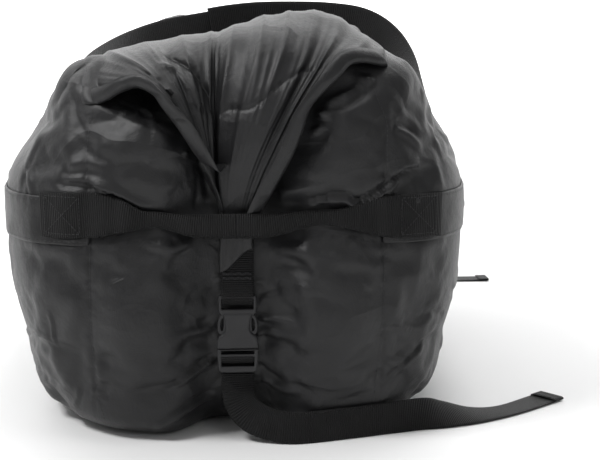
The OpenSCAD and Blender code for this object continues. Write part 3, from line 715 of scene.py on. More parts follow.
def end_relief(p):
    """Broad swelling and hollows of an end face, at x and z as seen from that end."""
    x, z = p[:, 0] * np.where(p[:, 1] < 0, 1, -1), p[:, 2]
    end = smooth((np.abs(p[:, 1]) - 0.20) / 0.10)
    lobes = 0.0065 * np.exp(-((np.abs(x) - 0.080) / 0.044) ** 2) * (
        np.exp(-((z - 0.105) / 0.062) ** 2) + 0.9 * np.exp(-((z - 0.262) / 0.040) ** 2))
    under_handle = -0.0045 * np.exp(-((z - 0.203) / 0.015) ** 2) * smooth((0.185 - np.abs(x)) / 0.02)
    lip = 0.300 - 0.36 * (x + 0.116)
    pocket = -0.013 * smooth((z - lip) / 0.014) * bump(np.maximum(np.abs(x + 0.082) - 0.016, 0) / 0.040) \
        * smooth((0.345 - z) / 0.02)
    under_flap = -0.007 * smooth((z - 0.30) / 0.03) * smooth((0.13 - np.abs(x - 0.02)) / 0.05)
    right = -0.008 * np.exp(-((x - 0.064) / 0.014) ** 2 - ((z - 0.300) / 0.022) ** 2)
    shoulders = 0.017 * np.exp(-((x + 0.138) / 0.034) ** 2 - ((z - 0.326) / 0.032) ** 2) \
        + 0.012 * np.exp(-((x - 0.146) / 0.026) ** 2 - ((z - 0.328) / 0.030) ** 2)
    return end * (lobes + under_handle + pocket + under_flap + right + shoulders)


def strap_dent(p):
    """Where the carry strap presses into the sack's left side."""
    across = bump((p[:, 1] + 0.050) / 0.085)
    return -0.008 * across * smooth((-p[:, 0] - 0.12) / 0.05) * smooth((p[:, 2] - 0.21) / 0.03) \
        * smooth((0.36 - p[:, 2]) / 0.04)


def crinkles(count, end):
    """Short random folds all over an end face, mostly lying across it."""
    found = []
    for _ in range(count):
        x, z = rng.uniform(-195, 195), rng.uniform(14, 345)
        lean = rng.normal(0, 0.5) + (0.5 if x * (z - 200) > 0 else -0.5)
        half = rng.uniform(7, 24)
        bend = rng.normal(0, 0.18) * half
        way = np.array([math.cos(lean), math.sin(lean)])
        across = np.array([-way[1], way[0]])
        at = np.array([x, z])
        points = [tuple(at - way * half), tuple(at + across * bend), tuple(at + way * half)]
        kind = ("ridge", "fold", "crease", "valley")[rng.integers(4)]
        found.append((kind, rng.uniform(0.5, 1.5) / 1000, rng.uniform(2.6, 5.5) / 1000,
                      face_path(points, end)))
    return found


def body_folds(count):
    """Random soft folds round the sides and over the top, between the two ends."""
    found = []
    for _ in range(count):
        y, turn = rng.uniform(-0.27, 0.27), rng.uniform(-35, 215)
        half, lean = rng.uniform(0.012, 0.045), rng.normal(0, 0.45)
        path = []
        for t in (-1.0, -0.5, 0.0, 0.5, 1.0):
            at = math.radians(turn) + t * half * math.sin(lean) / 0.19 + 0.02 * math.sin(3 * t + turn)
            c, s = math.cos(at), math.sin(at)
            place, _ = PLAIN.hit((0.6 * c, y + t * half * math.cos(lean), BELT + 0.6 * s), (-c, 0, -s))
            if place is not None:
                path.append(place)
        if len(path) == 5:
            kind = ("ridge", "fold", "valley")[rng.integers(3)]
            found.append((kind, rng.uniform(0.8, 2.2) / 1000, rng.uniform(3.5, 8.0) / 1000,
                          np.array(path)))
    return found


CRINKLES, BODY_FOLDS = 130, 170
SEAM_X = (-0.130, 0.131)
FLOOR_GAP = 0.0002


def shell_strokes(end):
    strokes = [(k, STROKE_GAIN * h / 1000, w / 1000, face_path(pts, end)) for k, h, w, pts in END_STROKES]
    strokes += scattered(PUCKERS, end) + crinkles(CRINKLES, end)
    for x in SEAM_X:
        line = np.array([PLAIN.on_face(x, z, end) for z in np.linspace(0.012, 0.33, 40)])
        strokes.append(("crease", 0.0034, 0.0022, line))
    return strokes


def held_share(p):
    """Where the skin is held: 1 at the seams, bands, groove, floor and strap, falling to 0 between them."""
    x, y, z = np.abs(p[:, 0]), np.abs(p[:, 1]), p[:, 2]
    end = y > 0.30
    seams = bump((x - 0.130) / 0.012) * end
    groove_part = (1 - smooth((x - 0.030) / 0.020)) * end
    bands = bump((z - BELT) / 0.034)
    floor = 1 - smooth((z - 0.004 - 0.030 * end) / 0.016)
    strap_part = bump((p[:, 1] + 0.050) / 0.040) * (z > 0.07)
    top = smooth((z - 0.30) / 0.03) * (1 - smooth((x - 0.12) / 0.03)) * end
    high = 0.85 * smooth((z - 0.325) / 0.03)
    widest = np.where(p[:, 0] > 0, 0.92, 0.65) * smooth((x - 0.175) / 0.03)
    return np.max([seams, groove_part, bands, floor, strap_part, top, high, widest], axis=0)


SIM_FRAMES = 22
BILLOW_MOST = 0.010


def billow(obj):
    """Cloth simulation of the stuffed skin: it grows a little against its seams and the load presses it out,
    so it swells and buckles between them. No point moves further than BILLOW_MOST."""
    co = vertices(obj)
    held = held_share(co)
    group = obj.vertex_groups.new(name="held")
    for step in range(1, 11):
        chosen = np.nonzero((held > (step - 1) / 10) & (held <= step / 10))[0]
        group.add([int(i) for i in chosen], step / 10, "REPLACE")
    cloth = obj.modifiers.new("cloth", "CLOTH")
    rules = cloth.settings
    rules.quality, rules.mass = 6, 0.2
    rules.tension_stiffness = rules.compression_stiffness = 30
    rules.shear_stiffness, rules.bending_stiffness = 8, 0.02
    rules.use_pressure, rules.uniform_pressure_force = True, 2.5
    rules.effector_weights.gravity = 0
    rules.shrink_min = -0.055
    rules.vertex_group_mass = group.name
    cloth.collision_settings.use_collision = False
    cloth.point_cache.frame_start, cloth.point_cache.frame_end = 1, SIM_FRAMES
    scene = bpy.context.scene
    for frame_number in range(1, SIM_FRAMES + 1):
        scene.frame_set(frame_number)
    graph = bpy.context.evaluated_depsgraph_get()
    moved = vertices(obj.evaluated_get(graph)) - co
    obj.modifiers.remove(cloth)
    obj.vertex_groups.remove(group)
    scene.frame_set(1)
    far = np.linalg.norm(moved, axis=1)
    kept = BILLOW_MOST * np.tanh(far / BILLOW_MOST) / np.maximum(far, 1e-9)
    set_vertices(obj, co + moved * (kept * (1 - held))[:, None])


def behind_tail(co, route, side):
    """Moves the foot of the sack back where it would touch the tail that lies along it."""
    limit = side * np.interp(co[:, 0], route[2:, 0], route[2:, 1]) - 0.0045
    past = np.maximum(side * co[:, 1] - limit, 0) * (co[:, 0] > 0) * (side * co[:, 1] > 0.2)
    co[:, 1] -= side * past * (1 - smooth((co[:, 2] - 0.034) / 0.020))


def make_shell(obj):
    billow(obj)
    subdivide(obj)
    subdivide(obj)
    co = vertices(obj)
    relief = end_relief(co) + strap_dent(co)
    set_vertices(obj, co + vertex_normals(obj) * relief[:, None])
    co, no = vertices(obj), vertex_normals(obj)
    strokes = shell_strokes("front") + shell_strokes("rear") + body_folds(BODY_FOLDS)
    co = co + no * add_strokes(co, no, strokes)[:, None]
    co[:, 2] = np.maximum(co[:, 2], FLOOR_GAP)
    behind_tail(co, FRONT_TAIL, -1)
    behind_tail(co, REAR_TAIL, 1)
    set_vertices(obj, co)
    panels = [f"{end}_{part}" for end in ENDS for part in ("center_panel", "gusset_left", "gusset_right")]
    fit(obj, "root", "shell_fabric", "filling", "top_panel", "bottom_panel", *panels)


shell = add_mesh("sack_shell", on_surface(GRID[0]), GRID[1], SHELL)
PLAIN = Surface(shell)
make_shell(shell)
SKIN = Surface(shell)


# ---- Closing flaps: gathered sheets lofted through guides from the tab over the shoulder ----
def mm(points):
    return np.array(points, float) / 1000


CREASE = mm([(-15, -334, 190), (-16, -336, 212), (-19, -338, 245), (-20, -337, 285), (-20, -331, 322),
             (-19, -315, 352), (-17, -285, 366), (-15, -235, 366), (-12, -150, 352)])
RIGHT_GUIDES = [
    CREASE + [0.000, 0.016, -0.004], CREASE,
    mm([(-6, -336, 190), (-5, -341, 212), (0, -349, 245), (10, -356, 285), (20, -353, 325),
        (28, -338, 358), (33, -305, 378), (36, -250, 384), (40, -145, 358)]),
    mm([(6, -337, 190), (8, -342, 212), (17, -351, 242), (32, -358, 278), (50, -357, 314),
        (68, -341, 345), (82, -308, 371), (92, -255, 384), (98, -150, 360)]),
    mm([(15.5, -337, 190), (18, -341, 212), (31, -351, 236), (45, -357, 262), (54, -359, 284),
        (60, -357, 302), (69, -354, 314), (88, -347, 332), (98, -340, 341), (112, -332, 343),
        (130, -318, 340), (146, -292, 340), (156, -240, 336), (158, -150, 326)]),
]
LEFT_GUIDES = [
    CREASE + [-0.001, 0.014, -0.004], CREASE + [-0.0015, -0.0005, 0],
    mm([(-14.5, -336, 190), (-15.5, -338, 212), (-23, -346, 250), (-34, -352, 285), (-44, -347, 315),
        (-54, -330, 341), (-62, -300, 356), (-66, -245, 361), (-68, -150, 351)]),
    mm([(-14, -337, 190), (-14.5, -339, 212), (-25, -348, 248), (-43, -356, 287), (-58, -356, 315),
        (-80, -344, 334), (-104, -318, 344), (-120, -275, 347), (-128, -205, 345), (-130, -140, 338)]),
    mm([(-13, -337, 190), (-13.5, -340, 214), (-23, -347, 244), (-37, -354, 268), (-49, -358, 288),
        (-61, -357, 305), (-69, -354, 316), (-82, -350, 322), (-96, -344, 319), (-111, -335, 311),
        (-126, -322, 306), (-140, -304, 308), (-150, -275, 312), (-155, -215, 312), (-157, -140, 306)]),
]


def resample_even(path, count):
    at = np.linspace(0, len(path) - 1, count)
    return np.stack([np.interp(at, np.arange(len(path)), path[:, k]) for k in range(3)], 1)


def loft(guides, nu, nv):
    """Grid of points through the guides: nu across them and nv along them."""
    rows = np.array([resample(curve(g, 8), nv) for g in guides])
    return np.array([resample_even(curve(rows[:, j], 10), nu) for j in range(nv)])


def grid_normals(grid):
    return unit(np.cross(np.gradient(grid, axis=1), np.gradient(grid, axis=0)))


def pleat_height(u, v, count, seed, sharp=0.75):
    """Gathered pleats across u that wander along v: round ridges with sharp valleys between them."""
    noise = np.random.default_rng(seed)
    wander = sum(noise.uniform(-1, 1) * np.sin(math.tau * (v * k * 0.7 + u * 0.6 + noise.random())) / k
                 for k in (1, 2, 3))
    phase = count * (u + 0.030 * wander)
    which = np.floor(phase).astype(int)
    weights = noise.uniform(0.35, 1.0, 64)
    fade = 0.6 + 0.4 * np.sin(math.tau * (v * noise.uniform(0.6, 1.2) + weights[which % 64]))
    return np.abs(np.sin(math.pi * phase)) ** sharp * weights[which % 64] * fade


def flap_sheet(name, end, guides, coarse, fine, seed, side):
    """A gathered sheet with coarse and fine pleats. side, 1 or -1, is the order of its faces. Returns its
    object, and its grid as it is shaped at the front end."""
    nu, nv = 120, 200
    grid = loft(guides, nu, nv)
    normal = grid_normals(grid) * side
    u = np.linspace(0, 1, nu)[None, :] * np.ones((nv, 1))
    v = np.linspace(0, 1, nv)[:, None] * np.ones((1, nu))
    depth = 0.0010 + 0.0042 * smooth((v - 0.05) / 0.30) * (1 - 0.75 * smooth((v - 0.55) / 0.35))
    edges = smooth(u / 0.06) * smooth((1 - u) / 0.06)
    height = depth * (pleat_height(u, v, coarse, seed) - 0.45) * edges
    fade = 1 - 0.5 * smooth((v - 0.4) / 0.4)
    height += 0.35 * depth * (pleat_height(u, v, fine, seed + 1) - 0.4) * edges * fade
    grid = grid + normal * height[..., None]
    # The outer edge is turned under in a soft roll
    outward = unit(grid[:, -1] - grid[:, -4])
    up = normal[:, -1]
    roll = [grid[:, -1] + outward * r * math.sin(a) - up * r * (1 - math.cos(a))
            for a, r in ((0.6, 0.0030), (1.3, 0.0030), (2.0, 0.0030), (2.7, 0.0030), (3.1, 0.0034))]
    for drop in (0.0008, 0.0010):
        roll.append(roll[-1] - outward * 0.006 - up * drop)
    grid = np.concatenate([grid, np.stack(roll, 1)], axis=1)
    faces = grid_faces(grid.shape[1], nv)[::side]
    return add_mesh(name, turned(grid.reshape(-1, 3), end), faces, SHELL), grid


FLAP_GAP, FLAP_SUNK = 0.0015, 0.005


def lay_over_skin(obj, sunk):
    """Pushes each point of a flap out of the skin, away from the middle of the sack's end. sunk gives each
    point a share from 0 to 1: at 1 it goes FLAP_SUNK under the skin, where the flap runs on as the skin."""
    co = vertices(obj)
    for i, p in enumerate(co):
        way = unit(p - np.array([0.0, math.copysign(0.20, p[1]), 0.22]))
        place, _ = SKIN.hit(p + way * 0.08, -way)
        if place is None:
            continue
        above = (p - place) @ way
        if -0.05 < above < FLAP_GAP:
            p = p + way * (FLAP_GAP - above)
        co[i] = p + sunk[i] * (place - FLAP_SUNK * way - p)
    set_vertices(obj, co)


def sheet_area(grid):
    a = np.cross(grid[1:, :-1] - grid[:-1, :-1], grid[:-1, 1:] - grid[:-1, :-1])
    b = np.cross(grid[1:, :-1] - grid[1:, 1:], grid[:-1, 1:] - grid[1:, 1:])
    return float((np.linalg.norm(a, axis=-1) + np.linalg.norm(b, axis=-1)).sum() / 2)


# The seam across the right flap, and the folds of the left flap beside its crease, in mm
FLAP_SEAM = [(-17, 295), (-9, 302), (0, 303), (11, 304), (23, 312), (34, 321), (46, 330), (57, 335),
             (69, 337), (87, 339)]
FLAP_FOLDS = [
    ("crease", 5.0, 3.0, [(-66, 349), (-48, 343), (-32, 329), (-23, 310), (-20, 290)]),
    ("ridge", 3.0, 4.0, [(-72, 343), (-54, 336), (-40, 321), (-30, 300), (-25, 280)]),
    ("valley", 2.0, 4.0, [(-86, 335), (-68, 330), (-55, 315), (-46, 296), (-36, 270)]),
]


def seam_strokes(face, end):
    """The wavy seam that crosses the right flap, with small puckers along it."""
    line = face_path(FLAP_SEAM, end, 6, face)
    strokes = [("crease", 0.0020, 0.0016, line)]
    for k in range(3, len(line) - 3, 3):
        up = np.array([rng.normal(0, 0.3), 0, 1.0]) * rng.uniform(0.004, 0.009)
        strokes.append(("crease", 0.0008, 0.0018, np.array([line[k] - up, line[k], line[k] + up])))
    return strokes


def fold_strokes(face, end):
    return [(kind, rise / 1000, width / 1000, face_path(points, end, 6, face))
            for kind, rise, width, points in FLAP_FOLDS]


def press_strokes(obj, strokes):
    """Presses strokes into a flap, on the side that looks away from the sack."""
    co, no = vertices(obj), vertex_normals(obj)
    no *= np.where((no * (co - [0, 0, 0.2])).sum(1) < 0, -1, 1)[:, None]
    set_vertices(obj, co + no * add_strokes(co, no, strokes)[:, None])


FLAP_WIDTH = 0.40


def add_flaps(end):
    """The right flap lies over the left one, and is the closing flap of the part's source."""
    sign = -1 if end == "front" else 1
    for hand, guides, coarse, fine, seed, side, node, strokes in (
            ("right", RIGHT_GUIDES, 9, 21, 11, -1, "closing_flap", seam_strokes),
            ("left", LEFT_GUIDES, 7, 17, 23, 1, "flap_fold", fold_strokes)):
        obj, grid = flap_sheet(f"{end}_flap_{hand}", end, guides, coarse, fine, seed, side)
        co = vertices(obj)
        x, inward = -sign * co[:, 0], smooth((0.235 - np.abs(co[:, 1])) / 0.05)
        lay_over_skin(obj, np.maximum(inward, smooth((-0.124 - x) / 0.014) + smooth((x - 0.132) / 0.014)))
        press_strokes(obj, strokes(Surface(obj), end))
        thicken(obj, 0.0006)
        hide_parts(f"{end}_{node}")
        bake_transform(obj)
        flat = (round(FLAP_WIDTH, 3), round(sheet_area(grid) / FLAP_WIDTH, 3))


for end in ENDS:
    add_flaps(end)


# ---- Side bands: satin strips sewn round the belt, from one handle end to the other ----
def belt_plan(side, angle):
    """Place and outward direction in plan along the belt: angle -90 is the front, 90 the rear."""
    a = math.radians(angle)
    c, s = max(math.cos(a), 0.0), math.sin(a)
    p = np.array([side * HALF_W * c ** (2 / END_N), HALF_L * math.copysign(abs(s) ** (2 / END_N), s), 0])
    n = np.array([side * (abs(p[0]) / HALF_W) ** (END_N - 1) / HALF_W,
                  math.copysign((abs(p[1]) / HALF_L) ** (END_N - 1) / HALF_L, s), 0])
    return p, unit(n)


def settle_rows(points, ways, lift, passes=6):
    """Smooths rows of points laid on the skin, as stiffer cloth lies, and keeps them lift above it."""
    base = points.copy()
    for _ in range(passes):
        points[1:-1] = (points[:-2] + 2 * points[1:-1] + points[2:]) / 4
        points[:, 1:-1] = (points[:, :-2] + 2 * points[:, 1:-1] + points[:, 2:]) / 4
    below = ((points - base) * ways).sum(-1, keepdims=True)
    return points + ways * (lift + np.maximum(-below, 0))


BAND_HALF = 0.0212


def side_band(side):
    """Adds one side's band and returns the lines of its two rows of stitches."""
    turns = np.sin(np.radians(np.linspace(-90, 90, 220)))
    angles = np.degrees(np.arcsin(np.sign(turns) * np.abs(turns) ** 2.2))
    heights = np.linspace(BELT - BAND_HALF, BELT + BAND_HALF, 15)
    plans = [belt_plan(side, a) for a in angles]
    plans = [(p, n) for p, n in plans if abs(p[0]) > 0.126]
    points = np.zeros((len(plans), len(heights), 3))
    ways = np.zeros_like(points)
    for i, (p, n) in enumerate(plans):
        for j, z in enumerate(heights):
            place, _ = SKIN.hit(p + n * 0.05 + [0, 0, z], -n)
            points[i, j] = place if place is not None else p + [0, 0, z]
            ways[i, j] = n
    points = settle_rows(points, ways, 0.0009)
    # Sewn down along both edges, so the edges sink and the middle stands proud
    across = np.abs(np.linspace(-1, 1, len(heights)))[None, :, None]
    points += ways * 0.0012 * (1 - across ** 6)
    hand = "left" if side < 0 else "right"
    obj = add_mesh(f"satin_band_{hand}", points.reshape(-1, 3), grid_faces(len(heights), len(plans)), BAND)
    subdivide(obj)
    thicken(obj, 0.0009, 0)
    fit(obj, "root", "band_fabric", f"side_band_{hand}")
    return [(points[:, j] + ways[:, j] * 0.0006, ways[:, j]) for j in (1, len(heights) - 2)]


fit(stitches("side_band_stitching", side_band(-1) + side_band(1), 0.0050, 0.0032, 0.00025), "root", "thread")


# ---- Haul handles: one length of 40 mm webbing, folded down to a grip in its middle ----
# Right half, from the middle out: x, height of the centre and folded width, in mm
HANDLE_RIGHT = [(0, 201, 21), (23, 201, 20.5), (44, 203.5, 17.5), (62, 207, 13.5), (79, 208, 12.5),
                (93, 207.5, 16.5), (108, 208, 24), (124, 208.5, 33), (138, 208, 39.5), (150, 207, 40),
                (185, 206, 40)]
HANDLE_LEFT = [(0, 201, 21), (-23, 200.5, 21), (-43, 202, 18), (-58, 205, 14), (-70, 207, 12.5),
               (-82, 207, 15), (-96, 209, 25), (-110, 211, 34), (-122, 211, 39.5), (-141, 210, 40),
               (-174, 209, 40)]
GRIP_OUT = 0.3538
CROSS_HALF = 0.0165


def boxed_cross(low, high, count, place_at):
    """Lines of a stitched box with a cross in it, between the corners low and high. place_at gives the point
    on the webbing at each (a, b), or None."""
    (a0, b0), (a1, b1) = low, high
    corners = [(a0, b0), (a1, b0), (a1, b1), (a0, b1)]
    rows = []
    for i, j in ((0, 1), (1, 2), (2, 3), (3, 0), (0, 2), (1, 3)):
        places = [place_at(*[corners[i][k] + (corners[j][k] - corners[i][k]) * t for k in (0, 1)])
                  for t in np.linspace(0, 1, count)]
        rows.append(np.array([p for p in places if p is not None]))
    return [row for row in rows if len(row) > 2]


def handle_path(rows, end):
    """Middle line of half a handle: free at the grip, and flat on the skin at its sewn end."""
    sign = 1 if end == "front" else -1
    path = []
    for x, z, _ in rows:
        sewn = smooth((abs(x) - 0.098) / 0.036)
        skin = np.mean([SKIN.on_face(x, z + k, end)[1] for k in (-0.016, 0, 0.016)])
        tallest = sign * min(sign * SKIN.on_face(x, z + k, end)[1]
                             for k in (-0.018, -0.009, 0, 0.009, 0.018))
        y = (1 - sewn) * sign * -GRIP_OUT + sewn * ((skin + tallest) / 2 - sign * 0.0028)
        path.append([sign * x, sign * min(sign * y, sign * tallest - 0.0016), z])
    path = np.array(path)
    for _ in range(3):
        path[1:-1, 1] = (path[:-2, 1] + 2 * path[1:-1, 1] + path[2:, 1]) / 4
    return path


def add_handle(end):
    sign = 1 if end == "front" else -1
    way = np.array([0, sign, 0.0])
    lines = []
    # Each half: its rows, the height of its stitched box and the box's two sides, and its CAD nodes
    for side, side_sign, rows, mid, near, far, nodes in (
            ("right", 1, HANDLE_RIGHT, 0.207, 0.147, 0.180, ("grip", "leg_right", "end_right")),
            ("left", -1, HANDLE_LEFT, 0.210, 0.138, 0.170, ("leg_left", "end_left"))):
        rows = resample(curve(np.array(rows, float) / 1000, 8), 60)
        path = handle_path(rows, end)
        # The width points up; turned so that the outer face of the section looks away from the sack
        up = np.tile([0, 0, 1.0 * side_sign], (len(path), 1))
        obj, _ = strap(f"{end}_haul_handle_{side}", path, up, HANDLE_W, HANDLE_T, rows[:, 2], 0.0015)
        half = sign * side_sign
        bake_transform(obj)
        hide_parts(*[f"{end}_haul_{node}" for node in nodes])
        face = Surface(obj)

        def place_at(x, z):
            place, _ = face.hit((half * x, -sign * 0.6, z), way)
            return None if place is None else place - way * 0.0001

        rows = boxed_cross((near, mid - CROSS_HALF), (far, mid + CROSS_HALF), 14, place_at)
        lines += [(row, np.tile(-way, (len(row), 1))) for row in rows]
    fit(stitches(f"{end}_haul_handle_stitching", lines), "root", "thread", f"{end}_haul_stitching")


for end in ENDS:
    add_handle(end)


# ---- Tab: the flap's gathered end, the webbing sewn under it and its two bar tacks ----
TAB_Y = -0.3350
BUCKLE_MID = -0.337
SOCKET_BAR_Z, PLUG_BAR_Z = 0.131, 0.0772


def laid_strap(name, path, way, end="front", **size):
    """Webbing along a smooth curve through path, whose width points along way."""
    path = curve(path, 5)
    obj, _ = strap(name, turned(path, end), turned(np.tile(way, (len(path), 1)), end), **size)
    return obj


def add_tab_cover(end):
    count = 40
    points = []
    for v in np.arange(count) / (count - 1):
        for u in np.arange(count) / (count - 1):
            x = (-0.0160 + 0.0320 * u) * (1 - 0.05 * smooth(v * 2)) + 0.0010 * math.sin(6 * v)
            low = 0.1560 + 0.0210 * smooth(u * 1.05)
            z = 0.2130 + (low - 0.2130) * v
            pleat = 0.0011 * abs(math.sin(math.pi * (3.4 * u + 0.5 * v + 0.15))) ** 0.8
            edge = 0.0016 * (1 - smooth(min(u, 1 - u) / 0.06)) + 0.0014 * (1 - smooth((1 - v) / 0.05))
            points.append((x, TAB_Y - 0.0022 - pleat + edge - 0.0012 * math.sin(math.pi * v), z))
    fabric = add_mesh(f"{end}_tab_cover", turned(points, end), grid_faces(count, count), SHELL)
    thicken(fabric, 0.0007, 0)
    fit(fabric, f"{end}_socket", "shell_fabric", f"{end}_tab_fabric")


def add_tab(end):
    """The webbing comes down from under the cover, round the socket's bar and back up behind itself."""
    add_tab_cover(end)
    mid, bar_z, r = BUCKLE_MID, SOCKET_BAR_Z, 0.0033
    path = [(0, TAB_Y, 0.192), (0, TAB_Y - 0.0002, 0.165), (0, TAB_Y - 0.0012, 0.150),
            (0, mid - r + 0.0003, 0.138)]
    path += [(0, mid - r * math.cos(a), bar_z - r * math.sin(a))
             for a in np.radians([-30, 0, 45, 90, 135, 180, 210])]
    path += [(0, mid + r + 0.0003, 0.138), (0, TAB_Y + 0.0027, 0.150), (0, TAB_Y + 0.0022, 0.160)]
    loop = laid_strap(f"{end}_tab_strap", path, [-1.0, 0, 0], end)
    fit(loop, f"{end}_socket", "webbing", f"{end}_tab_webbing")
    lines = []
    for z, y in ((0.1552, -0.0014), (0.1512, -0.0018)):
        for wave in (-0.0007, 0.0, 0.0007):
            row = [(x, TAB_Y + y - 0.0003, z + wave + 0.0005 * math.sin(x * 900))
                   for x in np.linspace(-0.0132, 0.0132, 30)]
            lines.append((turned(row, end), turned(np.tile([0, -1.0, 0], (30, 1)), end)))
    tacks = stitches(f"{end}_tab_tacks", lines, 0.0016, 0.0014, 0.0003)
    fit(tacks, f"{end}_socket", "thread", f"{end}_tab_bartacks")


for end in ENDS:
    add_tab(end)


# ---- Moulded parts: plates cut to an outline, with rounded edges ----
def plate(outline, holes, thickness, bevel, place):
    """A plate whose outline and holes are (a, b) points in mm. place turns its points (a, b, out) into the
    frame's axes."""
    data = bpy.data.curves.new("plate", "CURVE")
    data.dimensions, data.fill_mode = "2D", "BOTH"
    data.extrude, data.bevel_depth = thickness / 2 - bevel, bevel
    data.bevel_resolution, data.offset = 3, -bevel
    for loop in [outline] + holes:
        spline = data.splines.new("POLY")
        spline.points.add(len(loop) - 1)
        for point, (a, b) in zip(spline.points, loop):
            point.co = (a / 1000, b / 1000, 0, 1)
        spline.use_cyclic_u = True
    shape = bpy.data.objects.new("plate", data)
    bpy.context.scene.collection.objects.link(shape)
    graph = bpy.context.evaluated_depsgraph_get()
    graph.update()
    mesh = bpy.data.meshes.new_from_object(shape.evaluated_get(graph))
    bpy.data.objects.remove(shape)
    points = place(np.array([v.co for v in mesh.vertices], float))
    faces = [tuple(f.vertices) for f in mesh.polygons]
    bpy.data.meshes.remove(mesh)
    obj = add_mesh("plate", points, faces, PLASTIC)
    obj.data.set_sharp_from_angle(angle=math.radians(35))
    return obj


def rod(start, stop, radius):
    a, b = np.array(start, float), np.array(stop, float)
    along = unit(b - a)
    side = unit(np.cross(along, [0.3, 0.2, 0.9]))
    up = np.cross(along, side)
    ring, points = 24, []
    for t in (0, 1):
        for k in range(ring):
            w = math.tau * k / ring
            points.append(a + (b - a) * t + radius * (math.cos(w) * side + math.sin(w) * up))
    obj = add_mesh("rod", points, grid_faces(ring, 2, wrap=True), PLASTIC)
    obj.data.set_sharp_from_angle(angle=math.radians(60))
    return obj


def join(name, objs):
    """Makes one mesh of several."""
    points, faces = [], []
    for obj in objs:
        start = len(points)
        points += vertices(obj).tolist()
        faces += [tuple(start + i for i in f.vertices) for f in obj.data.polygons]
    for obj in objs:
        bpy.data.objects.remove(obj)
    joined = add_mesh(name, points, faces, PLASTIC)
    joined.data.set_sharp_from_angle(angle=math.radians(35))
    return joined


def both_sides(half):
    """Closed outline from its right half, given from top to bottom."""
    return half + [(-a, b) for a, b in reversed(half)]


def rounded(a0, a1, b0, b1, r=1.0):
    """Rounded rectangle."""
    centres = ((a1 - r, b1 - r, 0), (a0 + r, b1 - r, 90), (a0 + r, b0 + r, 180), (a1 - r, b0 + r, 270))
    return [(a + r * math.cos(math.radians(w)), b + r * math.sin(math.radians(w)))
            for a, b, first in centres for w in (first, first + 30, first + 60, first + 90)]


# Outlines of the buckle in mm: distance from its middle line, and height
SOCKET_BODY = [(13.5, 119.6), (13.0, 117.6), (11.8, 114.5), (11.1, 111), (10.9, 107.5), (11.2, 104.5),
               (12.4, 101.8), (14.6, 99.8), (16.8, 98.4), (18.0, 96.4), (18.5, 93), (18.9, 88.4),
               (18.5, 87.2), (17.4, 86.9)]
SOCKET_FRAME = [(13.6, 134.9), (15.6, 135.6), (16.8, 134.4), (17.0, 131), (16.9, 123.4), (16.4, 120.4),
                (14.8, 118.2), (12.6, 117.2)]
PRONG = [(10.8, 119.6), (13.6, 119.2), (15.8, 117.0), (17.4, 113.2), (18.1, 108.6), (17.9, 104.0),
         (16.9, 100.6), (14.4, 99.2), (12.6, 98.4), (12.2, 86.8), (9.4, 86.8), (9.6, 99), (10.2, 108)]
PRONG_SLOT = [(12.6, 115.4), (14.4, 113.6), (15.4, 109.6), (15.3, 105.6), (14.4, 103.2), (13.2, 103.4),
              (12.6, 108)]
PLUG_FRAME = [(18.1, 86.5), (18.6, 85.6), (18.5, 80), (17.6, 71), (17.0, 67.0), (15.8, 65.4), (13.8, 64.9)]


def buckle_bar(half, z, end):
    return rod(*[turned((x, BUCKLE_MID, z), end) for x in (-half, half)], 0.0021)


def add_buckle(end):
    def place(p, bow=0.0):
        out = BUCKLE_MID - p[:, 2] + bow * (p[:, 0] / 0.019) ** 2
        return turned(np.stack([p[:, 0], out, p[:, 1]], 1), end)

    body = plate(both_sides(SOCKET_BODY), [], 0.0112, 0.0019, lambda p: place(p, 0.0010))
    frame = plate(both_sides(SOCKET_FRAME), [rounded(-14.4, 14.4, 122.9, 133.2, 0.8)], 0.0080, 0.0011, place)
    socket = join(f"{end}_socket_moulding", [body, frame, buckle_bar(0.0150, SOCKET_BAR_Z, end)])
    fit(socket, f"{end}_socket", "buckle_plastic", f"{end}_buckle_socket")
    prongs = []
    for s in (1, -1):
        outline, slot = [[(s * a, b) for a, b in loop] for loop in (PRONG, PRONG_SLOT)]
        prongs.append(plate(outline, [slot], 0.0056, 0.0008, place))
    prongs = join(f"{end}_release_prongs", prongs)
    fit(prongs, "root", "buckle_plastic", f"{end}_buckle_prongs")
    slots = [rounded(-14.8, 14.8, 70.2, 79.4, 0.8), rounded(-14.8, 14.8, 81.6, 84.6, 0.6)]
    frame = plate(both_sides(PLUG_FRAME), slots, 0.0078, 0.0012, place)
    bar = buckle_bar(0.0155, PLUG_BAR_Z, end)
    guide = plate(rounded(-2.6, 2.6, 86, 106, 1.2), [], 0.0036, 0.0006, place)
    plug = join(f"{end}_plug_moulding", [frame, bar, guide])
    fit(plug, "root", "buckle_plastic", f"{end}_buckle_plug")


for end in ENDS:
    add_buckle(end)


# ---- Strap under the buckle: sewn in at the bottom, round the plug's bar and out again as the tail ----
def add_anchor(end):
    path = [(0, -abs(SKIN.on_face(0, z, end)[1]) - 0.0022, z) for z in np.arange(0.010, 0.060, 0.006)]
    mid = BUCKLE_MID
    path += [(0, mid + 0.0078, 0.068), (0, mid + 0.0052, 0.076), (0, mid + 0.0022, 0.0806)]
    path += [(0, mid - 0.0033 * math.sin(a), PLUG_BAR_Z + 0.0034 * math.cos(a))
             for a in np.radians([0, 45, 90, 135, 180])]
    path += [(0, mid + 0.0034, 0.0724), (0, -0.3316, 0.0700), (0, -0.3315, 0.0660), (0, -0.3314, 0.0626)]
    obj = laid_strap(f"{end}_buckle_strap", path, [1.0, 0, 0], end)
    fit(obj, "root", "webbing", f"{end}_anchor_strap")


for end in ENDS:
    add_anchor(end)


